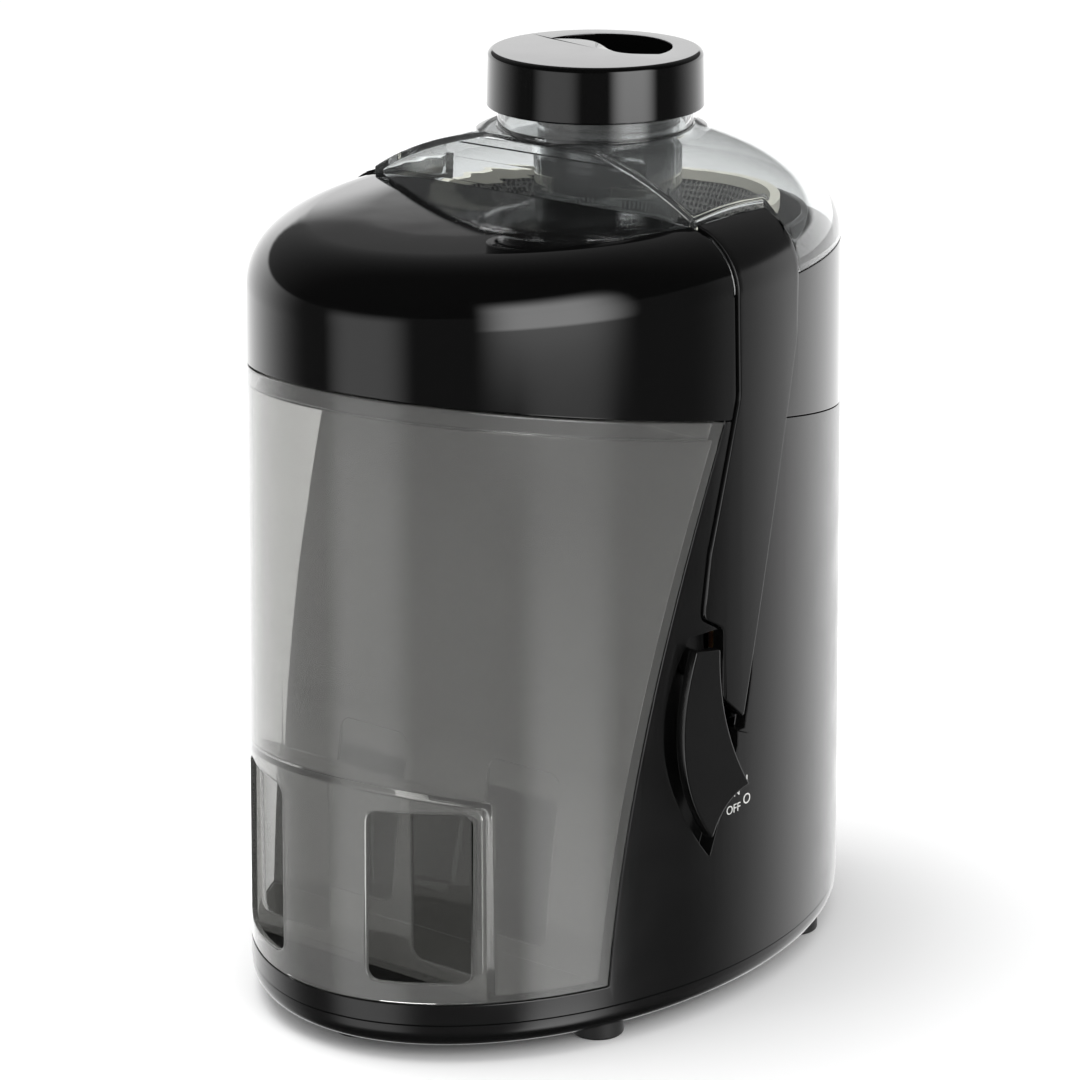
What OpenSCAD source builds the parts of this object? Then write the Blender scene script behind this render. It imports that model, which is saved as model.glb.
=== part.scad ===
// Centrifugal juicer: motor housing, filter bowl with hood, clear lid, pusher, pulp container.
// +X is the side with the power lever, -Y is the front with the pulp container, +Z is up.

/* [Body] */
// Length of the oval plan, front to back
body_len = 265; // [215:1:320]
// Width of the oval plan, side to side
body_wid = 184; // [150:1:225]
// Share by which the plan narrows over 250 mm of height
draft = 0.028; // [0:0.002:0.05]
// Wall of the motor housing
shell_wall = 2.8; // [2:0.1:3.5]
// Height of the feet under the bottom cover
foot_h = 4; // [3:0.5:8]
// Height of the bottom cover's side wall
cover_h = 10.5; // [8:0.5:16]
// Height of the band under the pulp container
band_h = 7.5; // [6:0.5:12]

/* [Hood and lid] */
// Height of the pulp container at its front edge, up to the hood
container_h = 218; // [180:1:260]
// Fall of the hood's lower edge towards the back, per millimetre
seam_slope = 0.187; // [0.1:0.01:0.22]
// Height of the hood's upright wall at its front edge
hood_wall_h = 22; // [14:1:34]
// Radius of the shoulder round the top
shoulder_r = 22; // [16:1:28]
// Rise of the lid from the shoulder to its collar
lid_rise = 21; // [12:1:30]
// Wall of the hood, the bowl and the lid
bowl_wall = 2.5; // [1.8:0.1:3.2]
// Distance of the hood-to-lid seam in front of the body's centre
lid_seam = 12; // [8:1:20]

/* [Feed chute] */
// Radius of the pusher's shaft
pusher_r = 23.5; // [18:0.5:26]
// Radius of the pusher's cap
cap_r = 39.2; // [36:0.2:44]
// Height of the pusher's cap
cap_h = 20; // [16:1:26]
// Distance of the cap's axis behind the body's centre
cap_y = 26; // [20:1:34]
// Distance of the chute's axis behind the cap's axis
chute_offset = 8; // [0:0.5:8]
// Outer radius of the lid's collar
collar_r = 35.2; // [35.2:0.2:38]
// Reach of the pusher's shaft under the lid's collar
pusher_reach = 24; // [16:1:30]

/* [Basket and bowl] */
// Radius of the basket's rim
basket_r = 62; // [52:1:64]
// Height of the basket
basket_h = 31; // [24:1:34]
// Radius inside the juice wall of the bowl
juice_r = 71; // [70:1:73]
// Bore radius of the juice spout
spout_r = 8.5; // [6:0.5:9]
// Reach of the juice spout beyond the bowl's wall
spout_reach = 27; // [15:1:40]

/* [Pulp container] */
// Wall of the pulp container
container_wall = 2.2; // [1.6:0.1:3]
// Width of the grip pocket in the container's front
pocket_wid = 107; // [90:1:120]
// Height of the grip pocket at the front
pocket_h = 79; // [60:1:95]
// Width of the upright grip bar between the two windows
bar_wid = 38; // [26:1:46]
// Depth of the grip pocket at its middle
pocket_depth = 28; // [24:1:34]

/* [Latches and lever] */
// Thickness of a latch arm
latch_t = 5; // [4:0.2:6]
// Radius of a latch pin
latch_pin_r = 2; // [1.6:0.1:2.4]
// How far the latch pins are below the hood's front edge
latch_pin_drop = 117; // [115:0.5:119]
// Radius of the lever's spindle
spindle_r = 4; // [3:0.2:5]
// Thickness of the lever's blade
lever_t = 4; // [3:0.2:5]

/* [Motor] */
// Radius of the motor shaft
shaft_r = 4; // [3:0.1:5]
// Side length of the square stator stack
stator_w = 78; // [70:1:84]
// Height of the stator stack
stack_h = 38; // [28:1:44]
// Radius of the armature
armature_r = 21.5; // [19:0.5:23]
// Radius of the rubber feet
foot_r = 9.5; // [7:0.5:11]

/* [Fits] */
// Gap between parts that lie face to face
seat_gap = 0.3; // [0.2:0.05:0.5]
// Running clearance of a shaft in its bearing
run_gap = 0.04; // [0.02:0.01:0.08]
// Gap round a latch arm in its channel
latch_gap = 0.6; // [0.4:0.1:1]
// Gap between the pusher and the chute
chute_gap = 0.4; // [0.3:0.1:0.8]

/* [Hidden] */
$fn = 96;
oval_n = 64;
tiny = 0.01;
far = 400;

base_z = foot_h + cover_h;
tray_z = base_z + band_h;
seam_front_z = tray_z + container_h;
shoulder_z = seam_front_z + hood_wall_h;
deck_t = 2.8;
top_z = shoulder_z + shoulder_r + 1;
collar_z = shoulder_z + shoulder_r + lid_rise;
chute_y = cap_y + chute_offset;
chute_r = pusher_r + chute_gap;
collar_top = collar_z + 14.5;
cap_z = collar_top + seat_gap + 12 - cap_h;
cap_top = cap_z + cap_h;

// The motor's axis stands a little behind the body's centre
axis_y = 30;
deck_z = seam_z(axis_y);
// The motor hangs under the deck, so its heights are taken down from there
shaft_z0 = deck_z - 141.6;
stack_z = deck_z - 91.6;
basket_z = shoulder_z + shoulder_r - 6 - basket_h;

// The housing's front wall is a barrel surface of this radius
barrel_r = 600;
barrel_foot_y = -68;
barrel_lean = 5;
barrel_y = barrel_foot_y + barrel_r * cos(barrel_lean);
barrel_z = tray_z - barrel_r * sin(barrel_lean);

// Latch arm outline, front edge down and back edge up
latch_pin_z = seam_front_z - latch_pin_drop;
latch_pin_x = body_wid / 2 * plan_scale(latch_pin_z) - latch_t - 1.5;
latch_mid_y = -11.5;
latch_proud = 1.2;
latch_swing_r = 20.5;
latch_room_y0 = latch_mid_y - 9.2;
latch_room_y1 = 1.2;
latch_pin_end = 3;
well_depth = latch_t - latch_proud + latch_gap;

// Lever on the right side, in a plane that is tangent to the housing
lever_y = -25;
lever_tilt = 6.7;
lever_z = latch_pin_z + 7;
spindle_t = -6;
spindle_z = lever_z + 3.5;
lever_x = side_x(lever_y, lever_z - 30) + 0.2;
recess_depth = 6;
lever_lift = 1;
lever_tip_t = 17;

spout_y = 48;
spout_z = seam_z(spout_y) + spout_r + 2.5 + bowl_wall + seat_gap;
spout_x = side_x(spout_y, spout_z) + spout_reach;

// The origin stands under the middle of the whole outline, spout and lever included
lever_reach = lever_x + (lever_lift + lever_t) * cos(lever_tilt) + lever_tip_t * sin(lever_tilt);
body_x = (spout_x - lever_reach) / 2;

function plan_scale(z) = 1 - draft * (z - base_z) / 250;
function side_x(y, z) = body_wid / 2 * plan_scale(z) * sqrt(1 - pow(y / (body_len / 2 * plan_scale(z)), 2));
function seam_z(y) = seam_front_z - seam_slope * (y + body_len / 2);
function oval(a, b) = [for (i = [0:oval_n - 1]) [b * cos(360 * i / oval_n), a * sin(360 * i / oval_n)]];
function curve(a, b, c, n = 8) =
    [for (i = [0:n]) let (t = i / n) (1 - t) * (1 - t) * a + 2 * t * (1 - t) * b + t * t * c];

// ---------- shared forms ----------

// Moves a finished part from the body's centre plane into the model's frame
module part(c) {
    color(c) translate([body_x, 0, 0]) children();
}

// A 2D outline given as [y, z] and run across the body's width
module across(w) {
    rotate([90, 0, 90]) translate([0, 0, -w / 2]) linear_extrude(w) children();
}

module slice(z, inset) {
    k = plan_scale(z);
    translate([0, 0, z]) linear_extrude(tiny) polygon(oval(body_len / 2 * k - inset, body_wid / 2 * k - inset));
}

// The outer form of the whole body, from its base seam to its crowned top
module body_form(inset = 0) {
    r = shoulder_r - inset;
    hull() {
        slice(base_z, inset);
        for (a = [0:18:90])
            slice(shoulder_z + r * sin(a), inset + r * (1 - cos(a)));
        translate([0, 0, top_z - inset]) linear_extrude(tiny) polygon(oval(body_len / 3.2, body_wid / 4));
    }
}

// Everything below the inclined plane of the hood's lower edge
module below_seam(drop = 0) {
    across(far) polygon([
        [-far, -10], [far, -10],
        [far, seam_z(far) - drop], [-far, seam_z(-far) - drop]
    ]);
}

// Everything behind the barrel-shaped front wall of the housing
module behind_front(shift = 0) {
    translate([0, barrel_y, barrel_z]) rotate([0, 90, 0])
        cylinder(r = barrel_r - shift, h = far, center = true, $fn = 360);
}

module latch_outline(grow = 0) {
    across(far) offset(delta = grow) polygon([
        [-12, top_z + 20], [-10, seam_z(-10) + 9], [-25, seam_z(-25) - 47], [-28, latch_pin_z + 30],
        [-28, latch_pin_z + 26.5], [-18.5, latch_pin_z + 21], [-18.5, latch_pin_z - 5], [-7, latch_pin_z - 15],
        [15, seam_z(15) - 17], [27, seam_z(27) + 30], [29, top_z + 20]
    ]);
}

// The block that walls a latch channel, seen from inside the shell
module latch_well() {
    difference() {
        latch_outline(latch_gap + shell_wall);
        body_form(well_depth + shell_wall);
        center_block(latch_gap + shell_wall);
    }
}

// Extra room round the latch's lower end, which dips as it swings in
module latch_relief() {
    across(far) polygon([
        [-0.4, latch_pin_z + 9], [-1.1, latch_pin_z], [-2.4, latch_pin_z - 7], [-5, latch_pin_z - 19.5],
        [-9, latch_pin_z - 19.5], [-19.1, latch_pin_z - 9.5], [-19.1, latch_pin_z + 9]
    ]);
}

module latch_channel() {
    difference() {
        union() {
            latch_outline(latch_gap);
            latch_relief();
        }
        body_form(well_depth);
        center_block(latch_gap);
    }
}

// What lies between the two latch hooks
module center_block(grow = 0) {
    w = 2 * (latch_pin_x - 12 - grow);
    translate([-w / 2, -far / 2, 0]) cube([w, far, far]);
}

module on_both_sides() {
    children();
    mirror([1, 0, 0]) children();
}

// Local frame of the lever: +X out of the housing, origin at the middle of the lever's edge line
module lever_frame() {
    translate([lever_x, lever_y, 0]) rotate([0, 0, -lever_tilt]) children();
}

module spindle_hole(r, x0, x1) {
    translate([x0, spindle_t, spindle_z]) rotate([0, 90, 0]) cylinder(r = r, h = x1 - x0);
}

// ---------- motor housing and base ----------

recess_points = concat(
    curve([-9, lever_z + 14], [-37, lever_z - 24], [1, lever_z - 70], 10),
    curve([1, lever_z - 70], [9, lever_z - 50], [16, lever_z - 32], 4),
    [[16, lever_z - 22], [6, lever_z - 12], [6, lever_z + 14]]
);

module lever_recess(grow, depth) {
    lever_frame() translate([-depth, 0, 0]) rotate([90, 0, 90]) linear_extrude(depth + 12)
        offset(delta = grow) polygon(recess_points);
}

module housing_outside() {
    intersection() {
        body_form();
        below_seam();
        union() {
            behind_front();
            across(far) square([far, tray_z * 2], center = true);
        }
    }
}

module housing_inside() {
    difference() {
        intersection() {
            body_form(shell_wall);
            below_seam(deck_t);
            union() {
                behind_front(shell_wall);
                across(far) square([far, (tray_z - shell_wall) * 2], center = true);
            }
        }
        latch_well();
        lever_recess(shell_wall, recess_depth + shell_wall);
        motor_posts();
        cover_posts();
        latch_bosses();
        gland_boss();
    }
}

post_x = stator_w / 2 - 7;
post_z = deck_z - 16;
module motor_posts() {
    for (x = [-post_x, post_x], y = [-post_x, post_x])
        translate([x, axis_y + y, post_z]) cylinder(r = 5.5, h = far);
    translate([0, axis_y, deck_z - 8]) cylinder(r = 15, h = far);
}

cover_post_angles = [48, 132, 228, 312];
module at_cover_posts(z) {
    for (a = cover_post_angles)
        translate([(body_wid / 2 - 8) * cos(a), (body_len / 2 - 8) * sin(a), z]) children();
}

module cover_posts() {
    at_cover_posts(base_z) cylinder(r = 5, h = 30);
}

module latch_bosses() {
    on_both_sides() pin_bar(6, latch_pin_end + 1);
}

// A bar on a latch's pin axis, which reaches past the swing room by a length at both ends
module pin_bar(r, beyond) {
    translate([latch_pin_x, latch_room_y0 - beyond, latch_pin_z]) rotate([-90, 0, 0])
        cylinder(r = r, h = latch_room_y1 - latch_room_y0 + 2 * beyond);
}

// The channel's floor is open behind the latch's lower end, so that it can swing in
module latch_swing_room() {
    on_both_sides() intersection() {
        translate([latch_pin_x, latch_room_y0, latch_pin_z]) rotate([-90, 0, 0])
            cylinder(r = latch_swing_r, h = latch_room_y1 - latch_room_y0);
        translate([0, -far / 2, 0]) cube([latch_pin_x + 2.2, far, far]);
    }
}

gland_z = tray_z + 20;
gland_y = body_len / 2 * plan_scale(gland_z);
module gland_boss() {
    translate([0, gland_y - 12, gland_z]) rotate([-90, 0, 0]) cylinder(r = 13, h = 12);
}

module vent_slots() {
    for (i = [-4:4])
        translate([i * 8 - 1.5, gland_y - 30, tray_z + 44]) cube([3, 60, 22]);
}

module motor_housing() part("#1a1a1a") difference() {
    housing_outside();
    housing_inside();
    latch_channel();
    latch_swing_room();
    lever_recess(0, recess_depth);
    on_both_sides() pin_bar(latch_pin_r, latch_pin_end);
    lever_frame() spindle_hole(spindle_r + 0.05, -30, 10);
    for (x = [-post_x, post_x], y = [-post_x, post_x])
        translate([x, axis_y + y, post_z - 1]) cylinder(r = 2, h = 12);
    translate([0, axis_y, deck_z - 20]) cylinder(r = seal_r, h = 40);
    at_cover_posts(base_z - 1) cylinder(r = 1.5, h = band_h - deck_t);
    translate([0, gland_y - 20, gland_z]) rotate([-90, 0, 0]) cylinder(r = gland_r, h = 30);
    translate([0, gland_y - 3, gland_z]) rotate([-90, 0, 0]) cylinder(r = gland_r + 3.5, h = 10);
    vent_slots();
}

cover_t = 2.5;
cover_inset = seat_gap;
module cover_form(inset) {
    hull() {
        slice(base_z - tiny, cover_inset + inset);
        slice(base_z - cover_h * 0.55 + inset * 0.5, 1.4 + inset);
        slice(base_z - cover_h * 0.85 + inset * 0.9, 5 + inset);
        slice(base_z - cover_h + inset, 11 + inset);
    }
}

module bottom_cover() part("#161616") difference() {
    union() {
        difference() {
            cover_form(0);
            translate([0, 0, 0.1]) cover_form(cover_t);
        }
        at_cover_posts(base_z - cover_h + 1) cylinder(r = 4.5, h = cover_h - 1);
        for (p = foot_places) translate([p[0], p[1], foot_h + tiny]) cylinder(r = foot_r + 2, h = 5);
    }
    at_cover_posts(0) cylinder(r = 1.8, h = 30);
    at_cover_posts(0) cylinder(r = 4.2, h = foot_h + 4);
    for (p = foot_places) translate([p[0], p[1], 0]) cylinder(r = foot_r + 0.2, h = foot_h + 3);
}

foot_x = body_wid / 2 - 24;
foot_y = body_len / 2 - 72;
foot_places = [
    [0, 22 - body_len / 2], [foot_x, -foot_y], [-foot_x, -foot_y], [foot_x, foot_y], [-foot_x, foot_y]
];

module foot(i) part("#202020") translate([foot_places[i][0], foot_places[i][1], 0]) rotate_extrude()
    polygon([[0, 1], [foot_r * 0.55, 1], [foot_r * 0.7, 0], [foot_r - 0.8, 0], [foot_r, 0.8],
        [foot_r, foot_h + 3], [0, foot_h + 3]]);

module foot_front() foot(0);
module foot_front_right() foot(1);
module foot_front_left() foot(2);
module foot_rear_right() foot(3);
module foot_rear_left() foot(4);

module cover_screws() part("silver") at_cover_posts(0) difference() {
    union() {
        translate([0, 0, foot_h + 1.8]) cylinder(r = 3.6, h = 2.2);
        translate([0, 0, foot_h + 4 - tiny]) cylinder(r = 1.5, h = base_z + band_h - deck_t - foot_h - 5.2);
    }
    for (a = [0, 90]) rotate([0, 0, a]) translate([-2, -0.4, foot_h]) cube([4, 0.8, 2.8]);
}

gland_r = 6;
cord_bore_r = 3.6;
module cord_gland() part("#202020") translate([0, gland_y, gland_z]) rotate([-90, 0, 0]) difference() {
    union() {
        translate([0, 0, -16]) cylinder(r = gland_r, h = 15.9);
        translate([0, 0, -3]) cylinder(r = gland_r + 3.2, h = 2.9);
    }
    translate([0, 0, -20]) cylinder(r = cord_bore_r, h = 30);
}

// ---------- motor ----------

motor_top_z = post_z;
bracket_t = 4;
module at_bolts(z) {
    for (x = [-post_x, post_x], y = [-post_x, post_x]) translate([x, axis_y + y, z]) children();
}

module on_axis(z) {
    translate([0, axis_y, z]) children();
}

module stator_core() part("#6b6b6e") difference() {
    on_axis(stack_z) linear_extrude(stack_h) difference() {
        square(stator_w, center = true);
        square([stator_w - 24, stator_w - 46], center = true);
        circle(r = armature_r + 0.8);
        for (x = [-1, 1]) translate([x * (stator_w / 2 - 18), 0]) square([12, stator_w - 26], center = true);
    }
    at_bolts(0) cylinder(r = 2.3, h = far);
}

coil_r = armature_r + 1.2;
module field_coils() part("#a5582a") for (s = [-1, 1]) on_axis(stack_z - 9) difference() {
    translate([-stator_w / 2 + 13, s > 0 ? 12 : -stator_w / 2 + 13.2, 0])
        cube([stator_w - 26, stator_w / 2 - 25.2, stack_h + 18]);
    translate([-coil_r - 2, -stator_w / 2, 8.6]) cube([2 * coil_r + 4, stator_w, stack_h + 0.8]);
    translate([0, 0, -1]) cylinder(r = coil_r + 1.5, h = stack_h + 20);
    translate([-stator_w / 2 + 11, -stator_w / 2, 8.6]) cube([1.4, stator_w, stack_h + 0.8]);
}

module bracket_plate(z) {
    difference() {
        union() {
            on_axis(z) linear_extrude(bracket_t) square([stator_w, stator_w], center = true);
            children();
        }
        at_bolts(0) cylinder(r = 2.3, h = far);
    }
}

bearing_r = 10;
bearing_h = 7;
upper_bearing_z = motor_top_z - bracket_t - 3;
lower_bearing_z = shaft_z0 + 4;
lower_plate_z = lower_bearing_z + 1;

module upper_bracket() part("silver") difference() {
    bracket_plate(motor_top_z - bracket_t) {
        on_axis(upper_bearing_z) cylinder(r = bearing_r + 3, h = bearing_h);
        at_bolts(stack_z + stack_h) cylinder(r = 4.5, h = motor_top_z - stack_z - stack_h);
    }
    on_axis(upper_bearing_z - 1) cylinder(r = bearing_r, h = bearing_h + 10);
}

module lower_bracket() part("silver") difference() {
    bracket_plate(lower_plate_z) {
        on_axis(lower_bearing_z) cylinder(r = bearing_r + 3, h = bearing_h);
        at_bolts(lower_plate_z) cylinder(r = 4.5, h = stack_z - lower_plate_z);
        for (s = [-1, 1]) on_axis(lower_plate_z) translate([s * 26 - 5, -5, 0])
            cube([10, 10, brush_z - lower_plate_z - 5]);
    }
    on_axis(lower_bearing_z - 10) cylinder(r = bearing_r, h = bearing_h + 20);
}

module bearing(z) on_axis(z) difference() {
    cylinder(r = bearing_r - tiny, h = bearing_h);
    translate([0, 0, -1]) cylinder(r = shaft_r + run_gap, h = bearing_h + 2);
}

module upper_bearing() part("#b08d57") bearing(upper_bearing_z);
module lower_bearing() part("#b08d57") bearing(lower_bearing_z);

module motor_bolts() part("silver") at_bolts(lower_plate_z - 2.5) {
    cylinder(r = 3.8, h = 2.5);
    cylinder(r = 1.9, h = motor_top_z - lower_plate_z + 11);
}

commutator_r = 12;
commutator_h = 14;
commutator_z = stack_z - 26;
brush_z = commutator_z + commutator_h / 2;
module brush_pair(w, h, x0, x1) {
    for (s = [0, 180]) on_axis(brush_z) rotate([0, 0, s]) translate([x0, -w / 2, -h / 2]) cube([x1 - x0, w, h]);
}

module brush_holders() part("#c9a14a") difference() {
    brush_pair(9, 10, commutator_r + 2, commutator_r + 24);
    brush_pair(6.2, 7.2, commutator_r, commutator_r + 22);
}

module carbon_brushes() part("#333333") brush_pair(6, 7, commutator_r + seat_gap, commutator_r + 16);

module suppressor_capacitor() part("#c8a030") translate([-14, -40, foot_h + cover_t + 0.2]) cube([28, 12, 16]);

seal_r = 9;
coupling_z = deck_z + 8;
shaft_top = basket_z - 1;
module motor_shaft() part("silver") on_axis(shaft_z0) cylinder(r = shaft_r, h = shaft_top - shaft_z0);

module on_shaft_hole() on_axis(0) cylinder(r = shaft_r, h = far);

module armature_core() part("#77777a") difference() {
    on_axis(stack_z) cylinder(r = armature_r, h = stack_h);
    for (i = [0:11]) on_axis(stack_z - 1) rotate([0, 0, i * 30]) translate([armature_r - 6, -1.2, 0])
        cube([10, 2.4, stack_h + 2]);
    on_shaft_hole();
}

module armature_winding() part("#a5582a") difference() {
    union() {
        on_axis(stack_z - 10) cylinder(r1 = armature_r - 8, r2 = armature_r - 3, h = 10);
        on_axis(stack_z + stack_h) cylinder(r1 = armature_r - 3, r2 = armature_r - 8, h = 10);
    }
    on_shaft_hole();
}

module commutator() part("#b87333") difference() {
    on_axis(commutator_z) cylinder(r = commutator_r, h = commutator_h);
    for (i = [0:11]) on_axis(commutator_z - 1) rotate([0, 0, i * 30 + 15])
        translate([commutator_r - 1, -0.3, 0]) cube([3, 0.6, commutator_h + 2]);
    on_shaft_hole();
}

fan_z = stack_z + stack_h + 12;
fan_r = post_x * 1.414 - 8;
module cooling_fan() part("#e0ddd0") difference() {
    union() {
        on_axis(fan_z) cylinder(r = 10, h = 12);
        on_axis(fan_z) cylinder(r = fan_r, h = 1.8);
        for (i = [0:10]) on_axis(fan_z) rotate([0, 0, i * 360 / 11])
            translate([9, -0.8, 0]) cube([fan_r - 10, 1.6, 11]);
    }
    on_shaft_hole();
}

module shaft_seal() part("#5a2a1a") on_axis(deck_z - 6) difference() {
    cylinder(r = seal_r - tiny, h = 8);
    translate([0, 0, -1]) cylinder(r = shaft_r + run_gap, h = 12);
}

coupling_r = 12;
module drive_coupling() part("#e8e6dc") difference() {
    union() {
        on_axis(coupling_z) cylinder(r = coupling_r, h = basket_z - coupling_z - 6);
        for (i = [0:5]) on_axis(coupling_z + 6) rotate([0, 0, i * 60])
            translate([coupling_r - 3, -1.5, 0]) cube([5, 3, basket_z - coupling_z - 12]);
    }
    on_shaft_hole();
}

// ---------- basket ----------

basket_foot_r = basket_r - 14;
module basket_base() part("#d8d6cc") difference() {
    union() {
        on_axis(basket_z) cylinder(r = basket_foot_r + 2.5, h = 3);
        on_axis(basket_z - 15) cylinder(r = coupling_r + 5.5, h = 15 + tiny);
    }
    on_axis(basket_z - 20) cylinder(r = coupling_r + 2.4, h = 17);
    on_axis(basket_z - 4) cylinder(r = shaft_r + 0.3, h = 20);
}

module basket_mesh() part("#c9c9cc") on_axis(0) rotate_extrude() polygon([
    [basket_foot_r, basket_z + 3.1], [basket_foot_r + 0.6, basket_z + 3.1],
    [basket_r - 0.9, basket_z + basket_h - 4.1], [basket_r - 1.5, basket_z + basket_h - 4.1]
]);

module basket_rim() part("#d8d6cc") difference() {
    on_axis(basket_z + basket_h - 4) cylinder(r = basket_r + 1.5, h = 4);
    on_axis(basket_z + basket_h - 5) cylinder(r = basket_r - 2, h = 6);
}

module grater_disc() part("#d0d0d3") {
    on_axis(basket_z + 3.1) cylinder(r = basket_foot_r - 1, h = 1.2);
    for (ring = [1:4]) for (i = [0:ring * 6 - 1])
        on_axis(basket_z + 4.2) rotate([0, 0, i * 60 / ring + ring * 13])
            translate([ring * 9.5, 0, 0]) rotate([0, 0, 35]) translate([-1.4, -0.5, 0]) cube([2.8, 1, 1.6]);
}

// ---------- filter bowl with its hood ----------

bowl_floor = bowl_wall;
module above_seam(lift) {
    difference() {
        translate([-far / 2, -far / 2, base_z]) cube([far, far, far]);
        below_seam(-lift);
    }
}

lid_z = shoulder_z;
module lid_room(gap) {
    translate([-far / 2, -lid_seam - gap, lid_z - gap]) cube([far, far, far]);
}

juice_wall_top = basket_z + basket_h - 5;
module bowl_core() {
    on_axis(0) cylinder(r = juice_r + bowl_wall, h = juice_wall_top);
}

module filter_bowl() part("#0e0e0e") difference() {
    union() {
        difference() {
            intersection() {
                body_form();
                above_seam(seat_gap);
            }
            lid_room(seat_gap);
            bowl_space();
        }
        intersection() {
            union() {
                difference() {
                    bowl_core();
                    on_axis(0) cylinder(r = juice_r, h = far);
                }
                on_axis(0) cylinder(r = 19.5, h = basket_z - 17);
            }
            above_seam(seat_gap);
        }
        spout_tube(spout_r + bowl_wall, 0);
    }
    latch_channel();
    on_axis(0) cylinder(r = 17.6, h = far);
    spout_tube(spout_r, 1);
    translate([-spout_x, spout_y, spout_z + spout_r + bowl_wall]) rotate([0, -28, 0])
        translate([-40, -20, -60]) cube([40, 40, 80]);
}

module bowl_space() {
    difference() {
        intersection() {
            body_form(bowl_wall);
            union() {
                above_seam(seat_gap + bowl_floor);
                difference() {
                    translate([-far / 2, -far, 0]) cube([far, far - 14, far]);
                    bowl_core();
                }
            }
        }
        latch_well();
    }
}

module spout_tube(r, extra) {
    translate([-spout_x - extra, spout_y, spout_z]) rotate([0, 90, 0])
        cylinder(r = r, h = spout_x - juice_r + 4 + 2 * extra);
}

// ---------- lid and pusher ----------

// Share of the lid's rise that lies above its widest crown line
lid_crown = 0.36;
module behind_lid_seam(inset) {
    intersection() {
        children();
        translate([-far / 2, -lid_seam + inset, lid_z - inset / 4]) cube([far, far, far]);
    }
}

module lid_form(inset) {
    crown_z = collar_z - inset - lid_rise * lid_crown;
    hull() {
        translate([0, cap_y, collar_z - inset - 1]) cylinder(r = collar_r + 1.3 - inset, h = 1);
        behind_lid_seam(inset) translate([0, cap_y, crown_z]) linear_extrude(tiny)
            polygon(oval(body_len / 4 - inset, body_wid * 0.29 - inset));
        behind_lid_seam(inset) body_form(inset);
    }
}

module lid() part("#cfd6d833") difference() {
    union() {
        difference() {
            lid_form(0);
            difference() {
                lid_form(bowl_wall);
                latch_well();
            }
            translate([-basket_r - 3, -lid_seam - 10, lid_z - 10])
                cube([2 * basket_r + 6, 20, basket_z + basket_h + 1.5 - lid_z + 10]);
        }
        translate([0, cap_y, collar_z - 2]) cylinder(r = collar_r, h = collar_top - collar_z + 2);
        translate([0, chute_y, chute_bottom]) cylinder(r = chute_r + 2.2, h = collar_top - chute_bottom);
    }
    difference() {
        translate([0, cap_y, collar_z]) cylinder(r = collar_r - 2.2, h = 30);
        translate([0, chute_y, chute_bottom]) cylinder(r = chute_r + 2.2, h = 80);
    }
    translate([0, chute_y, chute_bottom - 1]) cylinder(r = chute_r, h = 100);
    latch_channel();
}

chute_bottom = basket_z + 14;
cap_edge = 3;
cap_web = 12;
pocket_r = 24.5;
pusher_z = collar_z - pusher_reach;
finger_points = concat(
    [for (x = [-pocket_r:2:pocket_r]) [x, -6 * sin(180 * x / pocket_r)]],
    [for (a = [10:10:170]) pocket_r * [cos(a), sin(a)]]
);

module pusher() part("#0c0c0c") difference() {
    union() {
        translate([0, cap_y, cap_z]) rotate_extrude() union() {
            polygon([[0, 0], [cap_r, 0], [cap_r - 0.5, cap_h - cap_edge], [cap_r - cap_edge, cap_h], [0, cap_h]]);
            translate([cap_r - cap_edge - 0.5, cap_h - cap_edge]) circle(r = cap_edge);
        }
        translate([0, chute_y, pusher_z]) rotate_extrude() union() {
            polygon([[0, 0], [pusher_r - 5, 0], [pusher_r, 5], [pusher_r, cap_top - pusher_z - 6],
                [0, cap_top - pusher_z - 6]]);
            translate([pusher_r - 5, 5]) intersection() {
                circle(r = 5);
                translate([0, -5]) square([5, 5]);
            }
        }
    }
    difference() {
        translate([0, cap_y, cap_z - 1]) cylinder(r = collar_r + 1, h = cap_top - cap_web - cap_z + 1);
        translate([0, chute_y, 0]) cylinder(r = pusher_r, h = far);
    }
    translate([0, chute_y, pusher_z + 3]) cylinder(r = pusher_r - 2.6, h = cap_top - pusher_z - 6);
    translate([0, cap_y + 5, cap_top - 9]) linear_extrude(20) polygon(finger_points);
}

// ---------- pulp container ----------

container_z = tray_z + seat_gap;
ledge_z = tray_z + pocket_h;
ledge_slope = 0.27;
pocket_y = -body_len / 2 + pocket_depth;

// The grip pocket under the container's stepped floor
module pocket_block(grow) {
    across(pocket_wid + 2 * grow) polygon([
        [-far, -10], [pocket_y + grow, -10], [pocket_y + grow, pocket_top(pocket_y) + grow],
        [-far, pocket_top(-far) + grow]
    ]);
}
function pocket_top(y) = ledge_z - ledge_slope * (y + body_len / 2);

window_sill = 8;
window_r = 4;
module pocket_windows() {
    wid = (pocket_wid - bar_wid) / 2 - 3;
    for (s = [-1, 1]) translate([s * (bar_wid / 2 + wid / 2), 0, 0]) rotate([90, 0, 0]) linear_extrude(far)
        polygon(window_points(wid));
}
function window_points(w) = let (z0 = tray_z + window_sill, z1 = pocket_top(pocket_y) - 1, r = window_r) [
    for (c = [[w / 2 - r, z1 - r, 0], [r - w / 2, z1 - r, 90], [r - w / 2, z0 + r, 180], [w / 2 - r, z0 + r, 270]])
        for (a = [0:22.5:90]) [c[0] + r * cos(c[2] + a), c[1] + r * sin(c[2] + a)]
];

module container_form(inset) {
    difference() {
        intersection() {
            body_form(inset);
            below_seam(inset > 0 ? -20 : seat_gap);
            translate([-far / 2, -far, container_z + inset]) cube([far, far * 1.5, far]);
        }
        behind_front(-seat_gap - inset);
    }
}

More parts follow.
